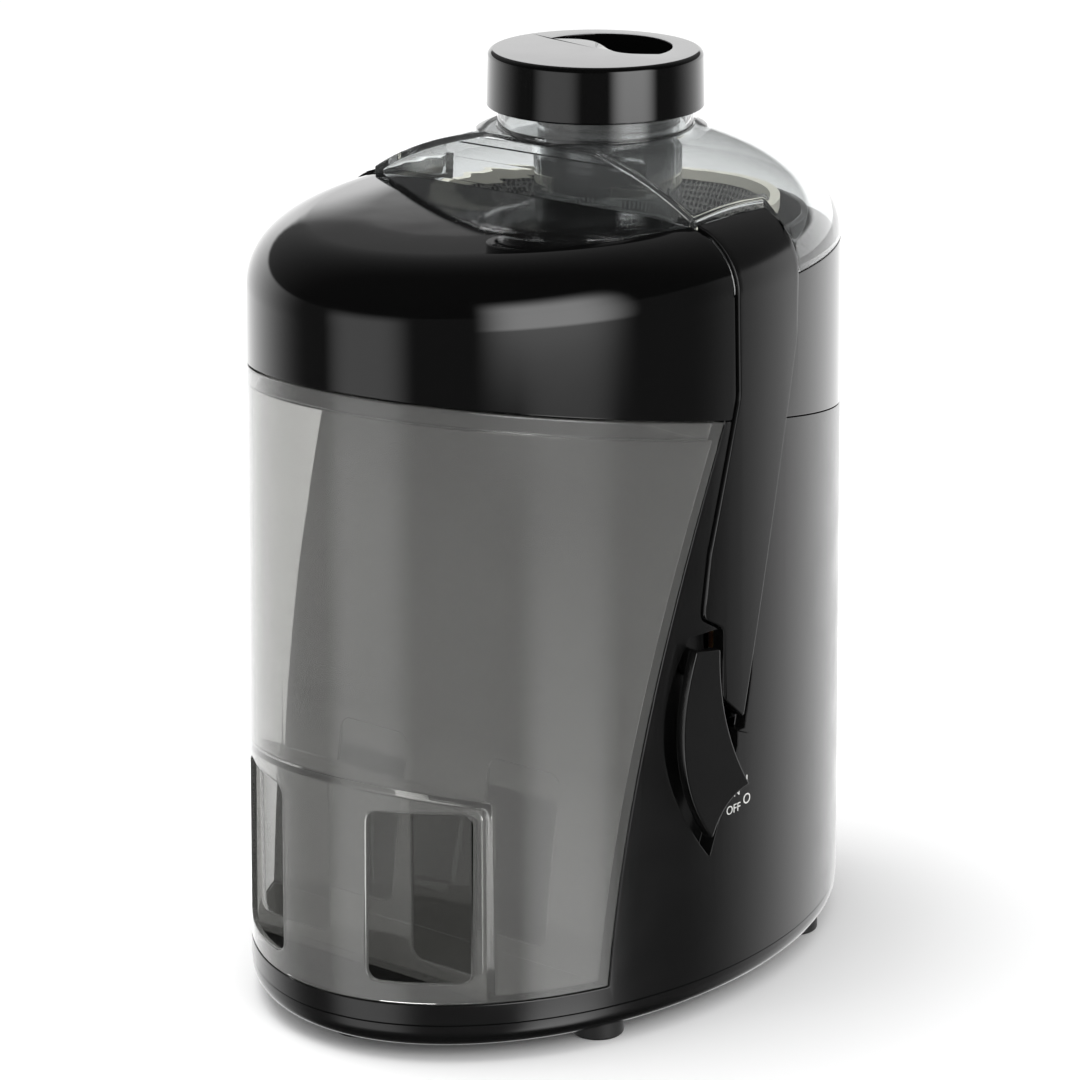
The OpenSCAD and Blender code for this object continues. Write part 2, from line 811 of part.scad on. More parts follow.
module pulp_container() part("#b0b4b544") difference() {
    container_form(0);
    difference() {
        container_form(container_wall);
        pocket_block(container_wall);
    }
    intersection() {
        body_form(container_wall);
        pocket_block(0);
    }
    pocket_windows();
}

// ---------- latches ----------

module latch_arm() {
    difference() {
        union() {
            intersection() {
                difference() {
                    latch_outline(0);
                    body_form(latch_t - latch_proud);
                }
                body_form(-latch_proud);
                translate([latch_pin_x - 12, -100, 0]) cube([60, 200, top_z + 20]);
            }
            translate([latch_pin_x, latch_mid_y - 7, latch_pin_z]) rotate([-90, 0, 0]) cylinder(r = 4.2, h = 14);
        }
        translate([latch_pin_x, latch_mid_y - 20, latch_pin_z]) rotate([-90, 0, 0])
            cylinder(r = latch_pin_r + 0.06, h = 40);
    }
}

module latch_right() part("#121212") latch_arm();
module latch_left() part("#121212") mirror([1, 0, 0]) latch_arm();
module latch_pin_right() part("silver") pin_bar(latch_pin_r, latch_pin_end - tiny);
module latch_pin_left() part("silver") mirror([1, 0, 0]) pin_bar(latch_pin_r, latch_pin_end - tiny);

// ---------- power lever and switches ----------

lever_points = concat(
    curve([0.5, lever_z + 9], [0, lever_z - 20], [lever_tip_t, lever_z - 45.5], 8),
    curve([lever_tip_t, lever_z - 45.5], [4, lever_z - 47], [-2, lever_z - 60], 5),
    curve([-3, lever_z - 61], [-28, lever_z - 30], [-12, lever_z + 11], 10)
);

module power_lever() part("#141414") lever_frame() {
    translate([lever_lift, 0, 0]) rotate([90, 0, 90]) linear_extrude(lever_t) polygon(lever_points);
    spindle_hole(spindle_r + 1, -recess_depth + 0.6, lever_lift + 0.4);
    spindle_hole(spindle_r, -26, lever_lift);
}

module power_switch() part("#202428") lever_frame() difference() {
    translate([-26, spindle_t - 9, spindle_z - 13]) cube([recess_depth * 2, 26, 26]);
    spindle_hole(spindle_r + 0.05, -30, 10);
}

clip_x = -recess_depth - shell_wall - 0.1;
module switch_clip() part("silver") lever_frame() difference() {
    spindle_hole(spindle_r + 2.2, clip_x - 1.5, clip_x);
    spindle_hole(spindle_r + 0.3, -30, 10);
}

module interlock_switch() part("#202428") translate([-7, barrel_foot_y + 60, foot_h + cover_t + 0.2])
    cube([20, 6.5, 12]);

motor_housing();
bottom_cover();
foot_front();
foot_front_right();
foot_front_left();
foot_rear_right();
foot_rear_left();
cover_screws();
cord_gland();
stator_core();
field_coils();
upper_bracket();
lower_bracket();
motor_bolts();
upper_bearing();
lower_bearing();
brush_holders();
carbon_brushes();
suppressor_capacitor();
motor_shaft();
armature_core();
armature_winding();
commutator();
cooling_fan();
drive_coupling();
shaft_seal();
basket_base();
basket_mesh();
basket_rim();
grater_disc();
filter_bowl();
lid();
pusher();
pulp_container();
latch_right();
latch_left();
latch_pin_right();
latch_pin_left();
power_lever();
power_switch();
switch_clip();
interlock_switch();
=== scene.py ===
import math

import bpy
from mathutils import Matrix, Vector


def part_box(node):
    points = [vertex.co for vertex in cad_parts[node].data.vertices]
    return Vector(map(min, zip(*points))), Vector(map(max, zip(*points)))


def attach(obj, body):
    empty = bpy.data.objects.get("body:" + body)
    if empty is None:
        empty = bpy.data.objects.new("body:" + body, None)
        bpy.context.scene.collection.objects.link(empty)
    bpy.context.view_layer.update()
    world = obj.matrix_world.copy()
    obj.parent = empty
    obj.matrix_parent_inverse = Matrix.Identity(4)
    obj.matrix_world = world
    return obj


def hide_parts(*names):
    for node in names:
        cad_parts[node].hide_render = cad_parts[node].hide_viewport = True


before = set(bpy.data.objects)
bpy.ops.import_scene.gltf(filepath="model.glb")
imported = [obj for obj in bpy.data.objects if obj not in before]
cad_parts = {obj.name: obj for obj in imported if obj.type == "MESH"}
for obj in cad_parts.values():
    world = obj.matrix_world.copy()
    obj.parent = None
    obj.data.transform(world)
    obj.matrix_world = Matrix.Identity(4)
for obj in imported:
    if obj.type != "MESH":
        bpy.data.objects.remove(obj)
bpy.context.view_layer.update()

# ---------- Camera ----------
# A long lens at the front right of the juicer, a little above its middle, that takes in the whole
# machine with the hood, the latch and the switch lever in view.
housing_low, housing_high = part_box("motor_housing")
middle_x = (housing_low.x + housing_high.x) / 2
view_turn = math.radians(37.88)
view_rise = math.radians(17.44)
view_distance = 1.532
towards_camera = Vector((
    math.sin(view_turn) * math.cos(view_rise),
    -math.cos(view_turn) * math.cos(view_rise),
    math.sin(view_rise),
))
aim_height = 0.152
aim = Vector((middle_x, 0, aim_height))
bpy.ops.object.camera_add(
    location=aim + towards_camera * view_distance,
    rotation=towards_camera.to_track_quat("Z", "Y").to_euler(),
)
camera = bpy.context.object
camera.data.lens = 140
camera.data.sensor_width = 36
camera.data.shift_x = -0.0101
camera.data.shift_y = 0.006
bpy.context.scene.camera = camera

# ---------- Motor housing ----------
# The tall black shell that holds the motor, injection moulded in ABS on an oval plan that narrows a
# little upwards. Its front is a shallow barrel surface that the pulp container stands against, its
# top is a sloping deck under the bowl, and each side has a channel that a latch lies in.
mm = 0.001
half_wide = (housing_high.x - housing_low.x) / 2
half_long = (housing_high.y - housing_low.y) / 2
base_z = housing_low.z
tray_h = 7.5 * mm
container_h = 218 * mm
hood_wall_h = 22 * mm
shoulder_r = 22 * mm
crown_h = 1 * mm
shell_wall = 2.8 * mm
bowl_wall = 2.5 * mm
seat_gap = 0.3 * mm
tray_z = base_z + tray_h
seam_front_z = tray_z + container_h
shoulder_z = seam_front_z + hood_wall_h
top_z = shoulder_z + shoulder_r + crown_h
seam_slope = 0.187
plan_loss = 0.028
plan_loss_h = 0.25
# Places well outside the body, for forms that cut right through it
far_front, far_back, far_side, far_up = -0.2, 0.2, 0.15, 0.32
seam_up = Vector((0, seam_slope, 1)).normalized()
X, Y, Z = Vector((1, 0, 0)), Vector((0, 1, 0)), Vector((0, 0, 1))


def seam_z(y):
    """Height of the hood's lower edge, which falls towards the back."""
    return seam_front_z - seam_slope * (y + half_long)


def narrowing(z):
    """Share of the base plan that is left at a height."""
    return 1 - plan_loss * (z - base_z) / plan_loss_h


def oval_at(z, inset):
    """The body's level oval at a height, at a depth under its skin."""
    share = narrowing(z)
    return (z, half_wide * share - inset, half_long * share - inset, 0)


def body_ovals(inset, foot_z):
    """The body's level ovals from its foot over the round shoulder to the crown."""
    corner = shoulder_r - inset
    ovals = [oval_at(foot_z, inset)]
    shoulder_steps = 12
    for step in range(shoulder_steps + 1):
        turn = math.radians(90 * step / shoulder_steps)
        ovals.append(oval_at(shoulder_z + corner * math.sin(turn), inset + corner * (1 - math.cos(turn))))
    ovals.append((top_z - inset, half_wide / 2, half_long * 0.625, 0))
    return ovals


# A place off every plane of the juicer, which no two points are equally far from
bpy.context.scene.cursor.location = (0.37, -0.53, 0.71)


def in_order():
    """Puts a mesh's points, edges and faces in a set order, so that each run cuts and bevels it alike."""
    bpy.ops.mesh.select_all(action="SELECT")
    bpy.ops.mesh.sort_elements(type="CURSOR_DISTANCE", elements={"VERT", "EDGE", "FACE"})


def edit(piece):
    """Opens one piece in edit mode with everything in it selected."""
    bpy.ops.object.select_all(action="DESELECT")
    piece.select_set(True)
    bpy.context.view_layer.objects.active = piece
    bpy.ops.object.mode_set(mode="EDIT")
    bpy.ops.mesh.select_all(action="SELECT")


def close(piece):
    """Turns all faces outwards, leaves edit mode and puts the piece's place in its mesh."""
    bpy.ops.mesh.select_all(action="SELECT")
    bpy.ops.mesh.normals_make_consistent(inside=False)
    in_order()
    bpy.ops.object.mode_set(mode="OBJECT")
    bpy.ops.object.transform_apply(location=True, rotation=True, scale=True)
    return piece


def tower(name, ovals, sides=192):
    """A closed form through level ovals, each (height, half width, half length, middle y)."""
    bpy.ops.object.select_all(action="DESELECT")
    height, half_x, half_y, y = ovals[0]
    bpy.ops.mesh.primitive_circle_add(
        vertices=sides, radius=1, fill_type="NGON", location=(middle_x, y, height)
    )
    piece = bpy.context.object
    piece.name = name
    edit(piece)
    bpy.ops.transform.resize(value=(half_x, half_y, 1), center_override=(middle_x, y, height))
    for next_height, next_half_x, next_half_y, next_y in ovals[1:]:
        step = (0, next_y - y, next_height - height)
        bpy.ops.mesh.extrude_region_move(TRANSFORM_OT_translate={"value": step})
        bpy.ops.transform.resize(
            value=(next_half_x / half_x, next_half_y / half_y, 1),
            center_override=(middle_x, next_y, next_height),
        )
        height, half_x, half_y, y = next_height, next_half_x, next_half_y, next_y
    return close(piece)


def drawn(name, outline, start, right, up, depth, rounding=0):
    """An outline drawn corner by corner in the plane of right and up, filled, and pushed out by depth."""
    bpy.ops.object.select_all(action="DESELECT")
    corners = [start + right * a + up * b for a, b in outline]
    bpy.ops.mesh.primitive_plane_add(size=mm, location=corners[0])
    piece = bpy.context.object
    piece.name = name
    edit(piece)
    bpy.ops.mesh.merge(type="CENTER")
    for here, there in zip(corners, corners[1:]):
        bpy.ops.mesh.extrude_region_move(TRANSFORM_OT_translate={"value": there - here})
    bpy.ops.mesh.select_all(action="SELECT")
    bpy.ops.mesh.edge_face_add()
    if rounding:
        bpy.ops.mesh.bevel(offset=rounding, segments=6, affect="VERTICES")
        bpy.ops.mesh.select_all(action="SELECT")
    bpy.ops.mesh.extrude_region_move(TRANSFORM_OT_translate={"value": right.cross(up) * depth})
    return close(piece)


def rod(name, radius, start, end, sides=96):
    """A round bar from one point to another."""
    bpy.ops.object.select_all(action="DESELECT")
    along = Vector(end) - Vector(start)
    bpy.ops.mesh.primitive_cylinder_add(
        vertices=sides,
        radius=radius,
        depth=along.length,
        location=(Vector(start) + Vector(end)) / 2,
        rotation=along.to_track_quat("Z", "Y").to_euler(),
    )
    piece = bpy.context.object
    piece.name = name
    bpy.ops.object.transform_apply(location=True, rotation=True, scale=True)
    return piece


def slice_off(piece, point, outwards):
    """Cuts away what lies beyond a plane, and closes the cut."""
    edit(piece)
    bpy.ops.mesh.bisect(plane_co=point, plane_no=outwards, use_fill=True, clear_outer=True)
    in_order()
    bpy.ops.object.mode_set(mode="OBJECT")


def combine(piece, other, way="DIFFERENCE"):
    """Cuts a closed form out of a piece, or adds or keeps what they share, and uses the form up."""
    bpy.ops.object.select_all(action="DESELECT")
    bpy.context.view_layer.objects.active = piece
    change = piece.modifiers.new("combine", "BOOLEAN")
    change.solver = "MANIFOLD"
    change.operation = way
    change.object = other
    bpy.ops.object.modifier_apply(modifier=change.name)
    bpy.data.objects.remove(other)


def mirrored(piece):
    """A copy of a piece on the other side of the middle plane."""
    bpy.ops.object.select_all(action="DESELECT")
    piece.select_set(True)
    bpy.context.view_layer.objects.active = piece
    bpy.ops.object.duplicate()
    copy = bpy.context.object
    edit(copy)
    bpy.ops.transform.mirror(constraint_axis=(True, False, False), center_override=(middle_x, 0, 0))
    return close(copy)


def joined(piece, other):
    """One object out of two that don't touch."""
    bpy.ops.object.select_all(action="DESELECT")
    piece.select_set(True)
    other.select_set(True)
    bpy.context.view_layer.objects.active = piece
    bpy.ops.object.join()
    return piece


def crisp(piece, edge=0.4 * mm, angle=35):
    """Rounds the sharp edges as a mould does, and shades the rest smoothly."""
    edit(piece)
    weld = 0.02 * mm
    bpy.ops.mesh.remove_doubles(threshold=weld)
    bpy.ops.mesh.dissolve_degenerate(threshold=weld)
    in_order()
    bpy.ops.object.mode_set(mode="OBJECT")
    if edge:
        soft = piece.modifiers.new("edge", "BEVEL")
        soft.width = edge
        soft.segments = 2
        soft.limit_method = "ANGLE"
        soft.angle_limit = math.radians(angle)
        soft.use_clamp_overlap = False
        soft.miter_outer = "MITER_ARC"
        bpy.ops.object.modifier_apply(modifier=soft.name)
    bpy.ops.object.shade_smooth_by_angle(angle=math.radians(angle))
    even = piece.modifiers.new("even", "WEIGHTED_NORMAL")
    even.keep_sharp = True
    bpy.ops.object.modifier_apply(modifier=even.name)
    return piece


def grown(outline, by):
    """An outline moved outwards by a distance, with its corners kept sharp."""
    points = [Vector(p) for p in outline]
    area = sum(a.cross(b) for a, b in zip(points, points[1:] + points[:1]))
    side = 1 if area > 0 else -1
    least_turn = 0.3
    result = []
    for before, here, after in zip(points[-1:] + points[:-1], points, points[1:] + points[:1]):
        first, second = (here - before).normalized(), (after - here).normalized()
        normals = [Vector((d.y, -d.x)) * side for d in (first, second)]
        middle = (normals[0] + normals[1]).normalized()
        result.append(here + middle * by / max(middle.dot(normals[0]), least_turn))
    return result


# The barrel surface of the front
barrel_r = 600 * mm
barrel_lean = math.radians(5)
barrel_front = -68 * mm
barrel_y = barrel_front + barrel_r * math.cos(barrel_lean)
barrel_z = tray_z - barrel_r * math.sin(barrel_lean)


def barrel_arc(low, high, shift, steps=28):
    """Points (y, z) up the housing's front wall, moved back by a distance."""
    heights = [low + (high - low) * i / steps for i in range(steps + 1)]
    shifted_r = barrel_r - shift
    return [(barrel_y - math.sqrt(shifted_r ** 2 - (z - barrel_z) ** 2), z) for z in heights]


def across(name, outline, half_width, rounding=0):
    """An outline of (y, z) points pushed through the body from one side to the other."""
    return drawn(name, outline, X * (middle_x - half_width), Y, Z, 2 * half_width, rounding)


def front_room(floor_z, shift):
    """The space that the pulp container stands in, in front of the housing's barrel wall."""
    wall = barrel_arc(floor_z, far_up, shift)
    return across("front_room", [(far_front, floor_z)] + wall + [(far_front, far_up)], far_side)


# The channels that the latches lie in
pin_low, pin_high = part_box("latch_pin_right")
pin_x = (pin_low.x + pin_high.x) / 2 - middle_x
pin_z = (pin_low.z + pin_high.z) / 2
latch_t = 5 * mm
latch_proud = 1.2 * mm
latch_gap = 0.6 * mm
hook_reach = 12 * mm
hook_x = pin_x - hook_reach
latch_push = 50 * mm
latch_corner = 2 * mm
well_depth = latch_t - latch_proud + latch_gap
latch_outline = [
    (-12 * mm, top_z + 20 * mm),
    (-10 * mm, seam_z(-10 * mm) + 9 * mm),
    (-25 * mm, seam_z(-25 * mm) - 47 * mm),
    (-28 * mm, pin_z + 30 * mm),
    (-28 * mm, pin_z + 26.5 * mm),
    (-18.5 * mm, pin_z + 21 * mm),
    (-18.5 * mm, pin_z - 5 * mm),
    (-7 * mm, pin_z - 15 * mm),
    (15 * mm, seam_z(15 * mm) - 17 * mm),
    (27 * mm, seam_z(27 * mm) + 30 * mm),
    (29 * mm, top_z + 20 * mm),
]


def latch_blank(grow):
    """The latch's side view pushed outwards from where its hook ends."""
    start = X * (middle_x + hook_x - grow)
    return drawn("latch", grown(latch_outline, grow), start, Y, Z, latch_push, latch_corner)


def latch_spaces(grow, depth):
    """The room for both latches, down to a depth under the body's skin."""
    space = latch_blank(grow)
    relief = [(-0.4, 9), (-1.1, 0), (-2.4, -7), (-5, -19.5), (-9, -19.5), (-19.1, -9.5), (-19.1, 9)]
    relief = [Vector((y * mm, pin_z + z * mm)) for y, z in relief]
    start = X * (middle_x + hook_x - grow)
    relief = grown(relief, grow - latch_gap)
    combine(space, drawn("relief", relief, start, Y, Z, latch_push), "UNION")
    combine(space, tower("core", body_ovals(depth, 10 * mm)))
    return joined(space, mirrored(space))


# The hollow behind the switch lever, in the lever's own tilted plane
lever_tilt = math.radians(6.7)
lever_y = -25 * mm
lever_z = pin_z + 7 * mm
lever_share = narrowing(lever_z - 30 * mm)
lever_clear = 0.2 * mm
lever_bulge = math.sqrt(1 - (lever_y / (half_long * lever_share)) ** 2)
lever_x = half_wide * lever_share * lever_bulge + lever_clear
lever_out = Vector((math.cos(lever_tilt), -math.sin(lever_tilt), 0))
lever_along = Vector((math.sin(lever_tilt), math.cos(lever_tilt), 0))
lever_home = Vector((middle_x + lever_x, lever_y, 0))
recess_depth = 6 * mm
recess_open = 12 * mm


def bend(a, b, c, steps):
    """Points on a curve from a to c, drawn towards b."""
    shares = [i / steps for i in range(steps + 1)]
    a, b, c = Vector(a), Vector(b), Vector(c)
    return [((1 - t) ** 2 * a + 2 * t * (1 - t) * b + t * t * c) * mm for t in shares]


def lifted(points):
    """Points given from the lever's height, in the frame's own heights."""
    return [Vector((p[0], p[1] + lever_z)) for p in points]


recess_outline = lifted(
    bend((-9, 14), (-37, -24), (1, -70), 16)
    + bend((1, -70), (9, -50), (16, -32), 8)[1:]
    + [(16 * mm, -22 * mm), (6 * mm, -12 * mm), (6 * mm, 14 * mm)]
)


def lever_hollow(grow, depth):
    """The hollow behind the lever, grown by a wall and open past the body's skin."""
    start = lever_home - lever_out * depth
    outline = grown(recess_outline, grow)
    return drawn("hollow", outline, start, lever_along, Z, depth + recess_open)


housing = tower("housing_shell", body_ovals(0, base_z))
slice_off(housing, (0, 0, seam_z(0)), seam_up)
combine(housing, front_room(tray_z, 0))
motor_room = tower("motor_room", body_ovals(shell_wall, base_z - 5 * mm))
slice_off(motor_room, (0, 0, seam_z(0) - shell_wall), seam_up)
combine(motor_room, front_room(tray_z - shell_wall, shell_wall))
combine(motor_room, latch_spaces(latch_gap + shell_wall, well_depth + shell_wall))
combine(motor_room, lever_hollow(shell_wall, recess_depth + shell_wall))
combine(housing, motor_room)
combine(housing, latch_spaces(latch_gap, well_depth))
# Round rooms beside the latch pins, which the latches' feet swing through
swing_r = 20.5 * mm
swing_front, swing_back = -20.7 * mm, 1.2 * mm
swing_side = middle_x + pin_x + 2.2 * mm
swing_start = (middle_x + pin_x, swing_front, pin_z)
swing_end = (middle_x + pin_x, swing_back, pin_z)
swing_room = rod("swing_room", swing_r, swing_start, swing_end)
slice_off(swing_room, (swing_side, 0, 0), (1, 0, 0))
combine(housing, joined(swing_room, mirrored(swing_room)))
combine(housing, lever_hollow(0, recess_depth))
shaft_y = 30 * mm
shaft_hole_r = 9 * mm
under_deck, over_deck = 0.18, 0.25
hole_start, hole_end = (middle_x, shaft_y, under_deck), (middle_x, shaft_y, over_deck)
combine(housing, rod("shaft_hole", shaft_hole_r, hole_start, hole_end))
gland_low, gland_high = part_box("cord_gland")
gland_z = (gland_low.z + gland_high.z) / 2
cord_hole_r = 9.5 * mm
inside_back = 0.1
cord_hole = rod("cord_hole", cord_hole_r, (middle_x, inside_back, gland_z), (middle_x, far_side, gland_z))
combine(housing, cord_hole)
# A row of upright air slots in the back, over the cord's way in
vent_pitch = 8 * mm
vent_half = 1.5 * mm
vent_corner = 1.2 * mm
vent_low, vent_high = tray_z + 44 * mm, tray_z + 66 * mm
vent_depth = 50 * mm
for i in range(-4, 5):
    left = middle_x + i * vent_pitch - vent_half
    right = middle_x + i * vent_pitch + vent_half
    slot = [(left, vent_low), (right, vent_low), (right, vent_high), (left, vent_high)]
    combine(housing, drawn("vent", slot, Y * far_side, X, Z, vent_depth, vent_corner))
crisp(housing)


def linear(hex_colour):
    """An sRGB colour such as #1a1a1a as the linear values that a shader takes."""
    values = [int(hex_colour[i:i + 2], 16) / 255 for i in (1, 3, 5)]
    low_end = 0.04045
    return tuple(v / 12.92 if v <= low_end else ((v + 0.055) / 1.055) ** 2.4 for v in values) + (1,)


def add_node(tree, kind, sockets=None, links=None, **settings):
    """Adds a shader node with its settings, its sockets' values and what is linked into it."""
    node = tree.nodes.new(kind)
    for name, value in settings.items():
        setattr(node, name, value)
    for name, value in (sockets or {}).items():
        node.inputs[name].default_value = value
    for name, source in (links or {}).items():
        tree.links.new(source, node.inputs[name])
    return node


def blank_material(name):
    """An empty material and the output of Object coordinates in it."""
    material = bpy.data.materials.new(name)
    material.use_nodes = True
    material.node_tree.nodes.clear()
    place = add_node(material.node_tree, "ShaderNodeTexCoord").outputs["Object"]
    return material, material.node_tree, place


def moulded_black(name, colour, roughness, ripple_mm, ripple_depth, haze):
    """Black ABS out of a steel mould.

    The slow ripple is the slight unevenness of a moulded wall, which bends long reflections, and the
    haze is the faint change of gloss that handling and the mould's polish leave.
    """
    material, tree, place = blank_material(name)
    ripple = add_node(
        tree, "ShaderNodeTexNoise", {"Scale": 1 / (ripple_mm * mm), "Detail": 1.0}, {"Vector": place}
    )
    bump = add_node(
        tree, "ShaderNodeBump", {"Strength": 0.5, "Distance": ripple_depth * mm},
        {"Height": ripple.outputs["Fac"]},
    )
    cloud_size = 18 * mm
    cloud = add_node(
        tree, "ShaderNodeTexNoise", {"Scale": 1 / cloud_size, "Detail": 5.0}, {"Vector": place}
    )
    gloss = add_node(
        tree, "ShaderNodeMapRange",
        {"From Min": 0.3, "From Max": 0.7, "To Min": roughness - haze, "To Max": roughness + haze},
        {"Value": cloud.outputs["Fac"]},
    )
    skin = add_node(
        tree, "ShaderNodeBsdfPrincipled", {"Base Color": linear(colour), "IOR": 1.53},
        {"Normal": bump.outputs["Normal"], "Roughness": gloss.outputs["Result"]},
    )
    add_node(tree, "ShaderNodeOutputMaterial", None, {"Surface": skin.outputs["BSDF"]})
    return material


def coat(piece, material):
    """Gives a whole piece one material."""
    piece.data.materials.clear()
    piece.data.materials.append(material)


def stands_for(piece, node, body):
    """Puts a finished piece in the place of a CAD node, on its body, and hides the node."""
    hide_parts(node)
    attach(piece, body)


# The housing's ABS has a finely polished but not mirror-bright skin, so it shows soft, long lights
housing_abs = moulded_black("abs_moulded_black_housing", "#101010", 0.2, 30, 0.05, 0.03)
coat(housing, housing_abs)
stands_for(housing, "motor_housing", "housing")

# ---------- Filter bowl and hood ----------
# The bowl that catches the juice, with the hood over the pulp's way out moulded on in front. It is one
# piece of high-gloss black ABS that sits on the housing's deck, with a juice wall round the basket, a
# boss round the motor shaft and a spout on the left side.
lid_seam = 12 * mm
lid_z = shoulder_z
basket_base_t = 3.1 * mm
basket_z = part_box("basket_mesh")[0].z - basket_base_t
basket_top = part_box("basket_rim")[1].z
juice_r = 71 * mm
boss_r = 19.5 * mm
boss_bore_r = 17.6 * mm
boss_drop = 17 * mm
spout_y = 48 * mm
spout_r = 8.5 * mm
spout_len = 42 * mm
spout_lift = 2.5 * mm
spout_cut = math.radians(28)
spout_z = seam_z(spout_y) + spout_r + spout_lift + bowl_wall + seat_gap
spout_tip = Vector((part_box("filter_bowl")[0].x, spout_y, spout_z))
pulp_way_back = -14 * mm
under_bowl, over_bowl = 0.1, 0.4


def over_seam(piece, lift):
    """Keeps what lies above the hood's lower edge."""
    slice_off(piece, (0, 0, seam_z(0) + lift), -seam_up)


def upright(name, radius, low, high, y=shaft_y, sides=128):
    """A round bar that stands on the middle plane."""
    return rod(name, radius, (middle_x, y, low), (middle_x, y, high), sides)


def lid_side(gap):
    """The corner of space that belongs to the lid: behind its seam and above its lower edge."""
    far = 0.3
    front, foot = -lid_seam - gap, lid_z - gap
    return across("lid_side", [(front, foot), (far, foot), (far, far * 2), (front, far * 2)], far)


bowl = tower("filter_bowl_hood", body_ovals(0, base_z))
over_seam(bowl, seat_gap)
combine(bowl, lid_side(seat_gap))
bowl_room = tower("bowl_room", body_ovals(bowl_wall, base_z))
over_seam(bowl_room, seat_gap + bowl_wall)
combine(bowl_room, latch_spaces(latch_gap + shell_wall, well_depth + shell_wall))
combine(bowl, bowl_room)
pulp_way = tower("pulp_way", body_ovals(bowl_wall, base_z))
slice_off(pulp_way, (0, pulp_way_back, 0), (0, 1, 0))
combine(pulp_way, upright("juice_wall", juice_r + bowl_wall, under_bowl, over_bowl))
combine(bowl, pulp_way)
juice_wall = upright("juice_wall", juice_r + bowl_wall, under_bowl, basket_top - 5 * mm)
combine(juice_wall, upright("juice_ring", juice_r, under_bowl / 2, over_bowl))
over_seam(juice_wall, seat_gap)
combine(bowl, juice_wall, "UNION")
boss = upright("boss", boss_r, under_bowl, basket_z - boss_drop)
over_seam(boss, seat_gap)
combine(bowl, boss, "UNION")
spout_root = spout_tip + X * spout_len
combine(bowl, rod("spout", spout_r + bowl_wall, spout_tip, spout_root), "UNION")
combine(bowl, latch_spaces(latch_gap, well_depth))
combine(bowl, upright("boss_bore", boss_bore_r, under_bowl, basket_z + 0.1))
combine(bowl, rod("spout_bore", spout_r, spout_tip - X * mm, spout_root))
spout_lip = spout_tip + Z * (spout_r + bowl_wall)
slice_off(bowl, spout_lip, Vector((-math.cos(spout_cut), 0, -math.sin(spout_cut))))
crisp(bowl, 0.5 * mm)
# The hood's mould is polished to a mirror, so its ABS shows sharp edges of light with a slight waviness
gloss_abs = moulded_black("abs_moulded_gloss_black", "#070707", 0.05, 26, 0.035, 0.015)
coat(bowl, gloss_abs)
stands_for(bowl, "filter_bowl", "housing")

# ---------- Lid ----------
# The clear lid over the basket, injection moulded in SAN. It rises from the hood's shoulder in one dome
# to a round collar, with the feed chute hanging inside the collar. Its front wall meets the hood, and
# both latches hook over its shoulders.
cap_y = 26 * mm
chute_y = 34 * mm
chute_r = 23.9 * mm
collar_r = 35.2 * mm
collar_h = 14.5 * mm
chute_wall = 2.2 * mm
lid_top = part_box("lid")[1].z
collar_z = lid_top - collar_h


def lid_ovals(inset):
    """The body's ovals up the shoulder, then a full dome that draws in to the collar's foot."""
    corner = shoulder_r - inset
    ovals = [oval_at(lid_z - 5 * mm, inset)]
    shoulder_end, shoulder_steps = 44, 6
    for step in range(shoulder_steps + 1):
        turn = math.radians(shoulder_end * step / shoulder_steps)
        ovals.append(oval_at(shoulder_z + corner * math.sin(turn), inset + corner * (1 - math.cos(turn))))
    edge = ovals[-1]
    bulge_y = 18 * mm
    bulge = (collar_z - 11 * mm - inset * 0.6, 67 * mm - inset * 0.8, 88 * mm - inset * 0.8, bulge_y)
    foot_r = collar_r + 1.3 * mm - inset
    foot = (collar_z - inset, foot_r, foot_r, cap_y)
    dome_steps = 12
    for step in range(1, dome_steps + 1):
        t = step / dome_steps
        ovals.append(tuple(
            (1 - t) ** 2 * e + 2 * t * (1 - t) * b + t * t * f for e, b, f in zip(edge, bulge, foot)
        ))
    return ovals


def lid_block(name, inset):
    """The lid's form at a depth under its skin, its front wall leaning back as it rises to the collar."""
    block = tower(name, lid_ovals(inset))
    front = -lid_seam + inset
    lean, rise = 5 * mm, 19 * mm
    wall = [(front, lid_z - 20 * mm)]
    for step in range(10):
        turn = math.radians(10 * step)
        wall.append((front + lean * (1 - math.cos(turn)), top_z - inset + rise * math.sin(turn)))
    behind = 0.3
    wall += [(behind, wall[-1][1] + lean), (behind, wall[0][1])]
    combine(block, across("front", wall, far_side), "INTERSECT")
    return block


lid = lid_block("lid_shell", 0)
slice_off(lid, (0, 0, lid_z), (0, 0, -1))
lid_room = lid_block("lid_room", bowl_wall)
combine(lid_room, latch_spaces(latch_gap + shell_wall, well_depth + shell_wall))
combine(lid, lid_room)
sill = basket_top + 1.5 * mm
door_half = 65 * mm
door_front, door_back, door_foot = -lid_seam - 10 * mm, -lid_seam + 10 * mm, lid_z - 10 * mm
doorway = [(door_front, door_foot), (door_back, door_foot), (door_back, sill), (door_front, sill)]
combine(lid, across("doorway", doorway, door_half))
combine(lid, upright("collar", collar_r, collar_z - 2 * mm, lid_top, cap_y), "UNION")
chute_over_disc = 14 * mm
chute_foot = basket_z + chute_over_disc
combine(lid, upright("chute", chute_r + chute_wall, chute_foot, lid_top, chute_y), "UNION")
trough = upright("trough", collar_r - chute_wall, collar_z, lid_top + mm, cap_y)
combine(trough, upright("chute", chute_r + chute_wall, chute_foot, lid_top + 2 * mm, chute_y))
combine(lid, trough)
combine(lid, upright("chute_bore", chute_r, chute_foot - mm, lid_top + 2 * mm, chute_y))
combine(lid, latch_spaces(latch_gap, well_depth))
crisp(lid, 0.5 * mm)


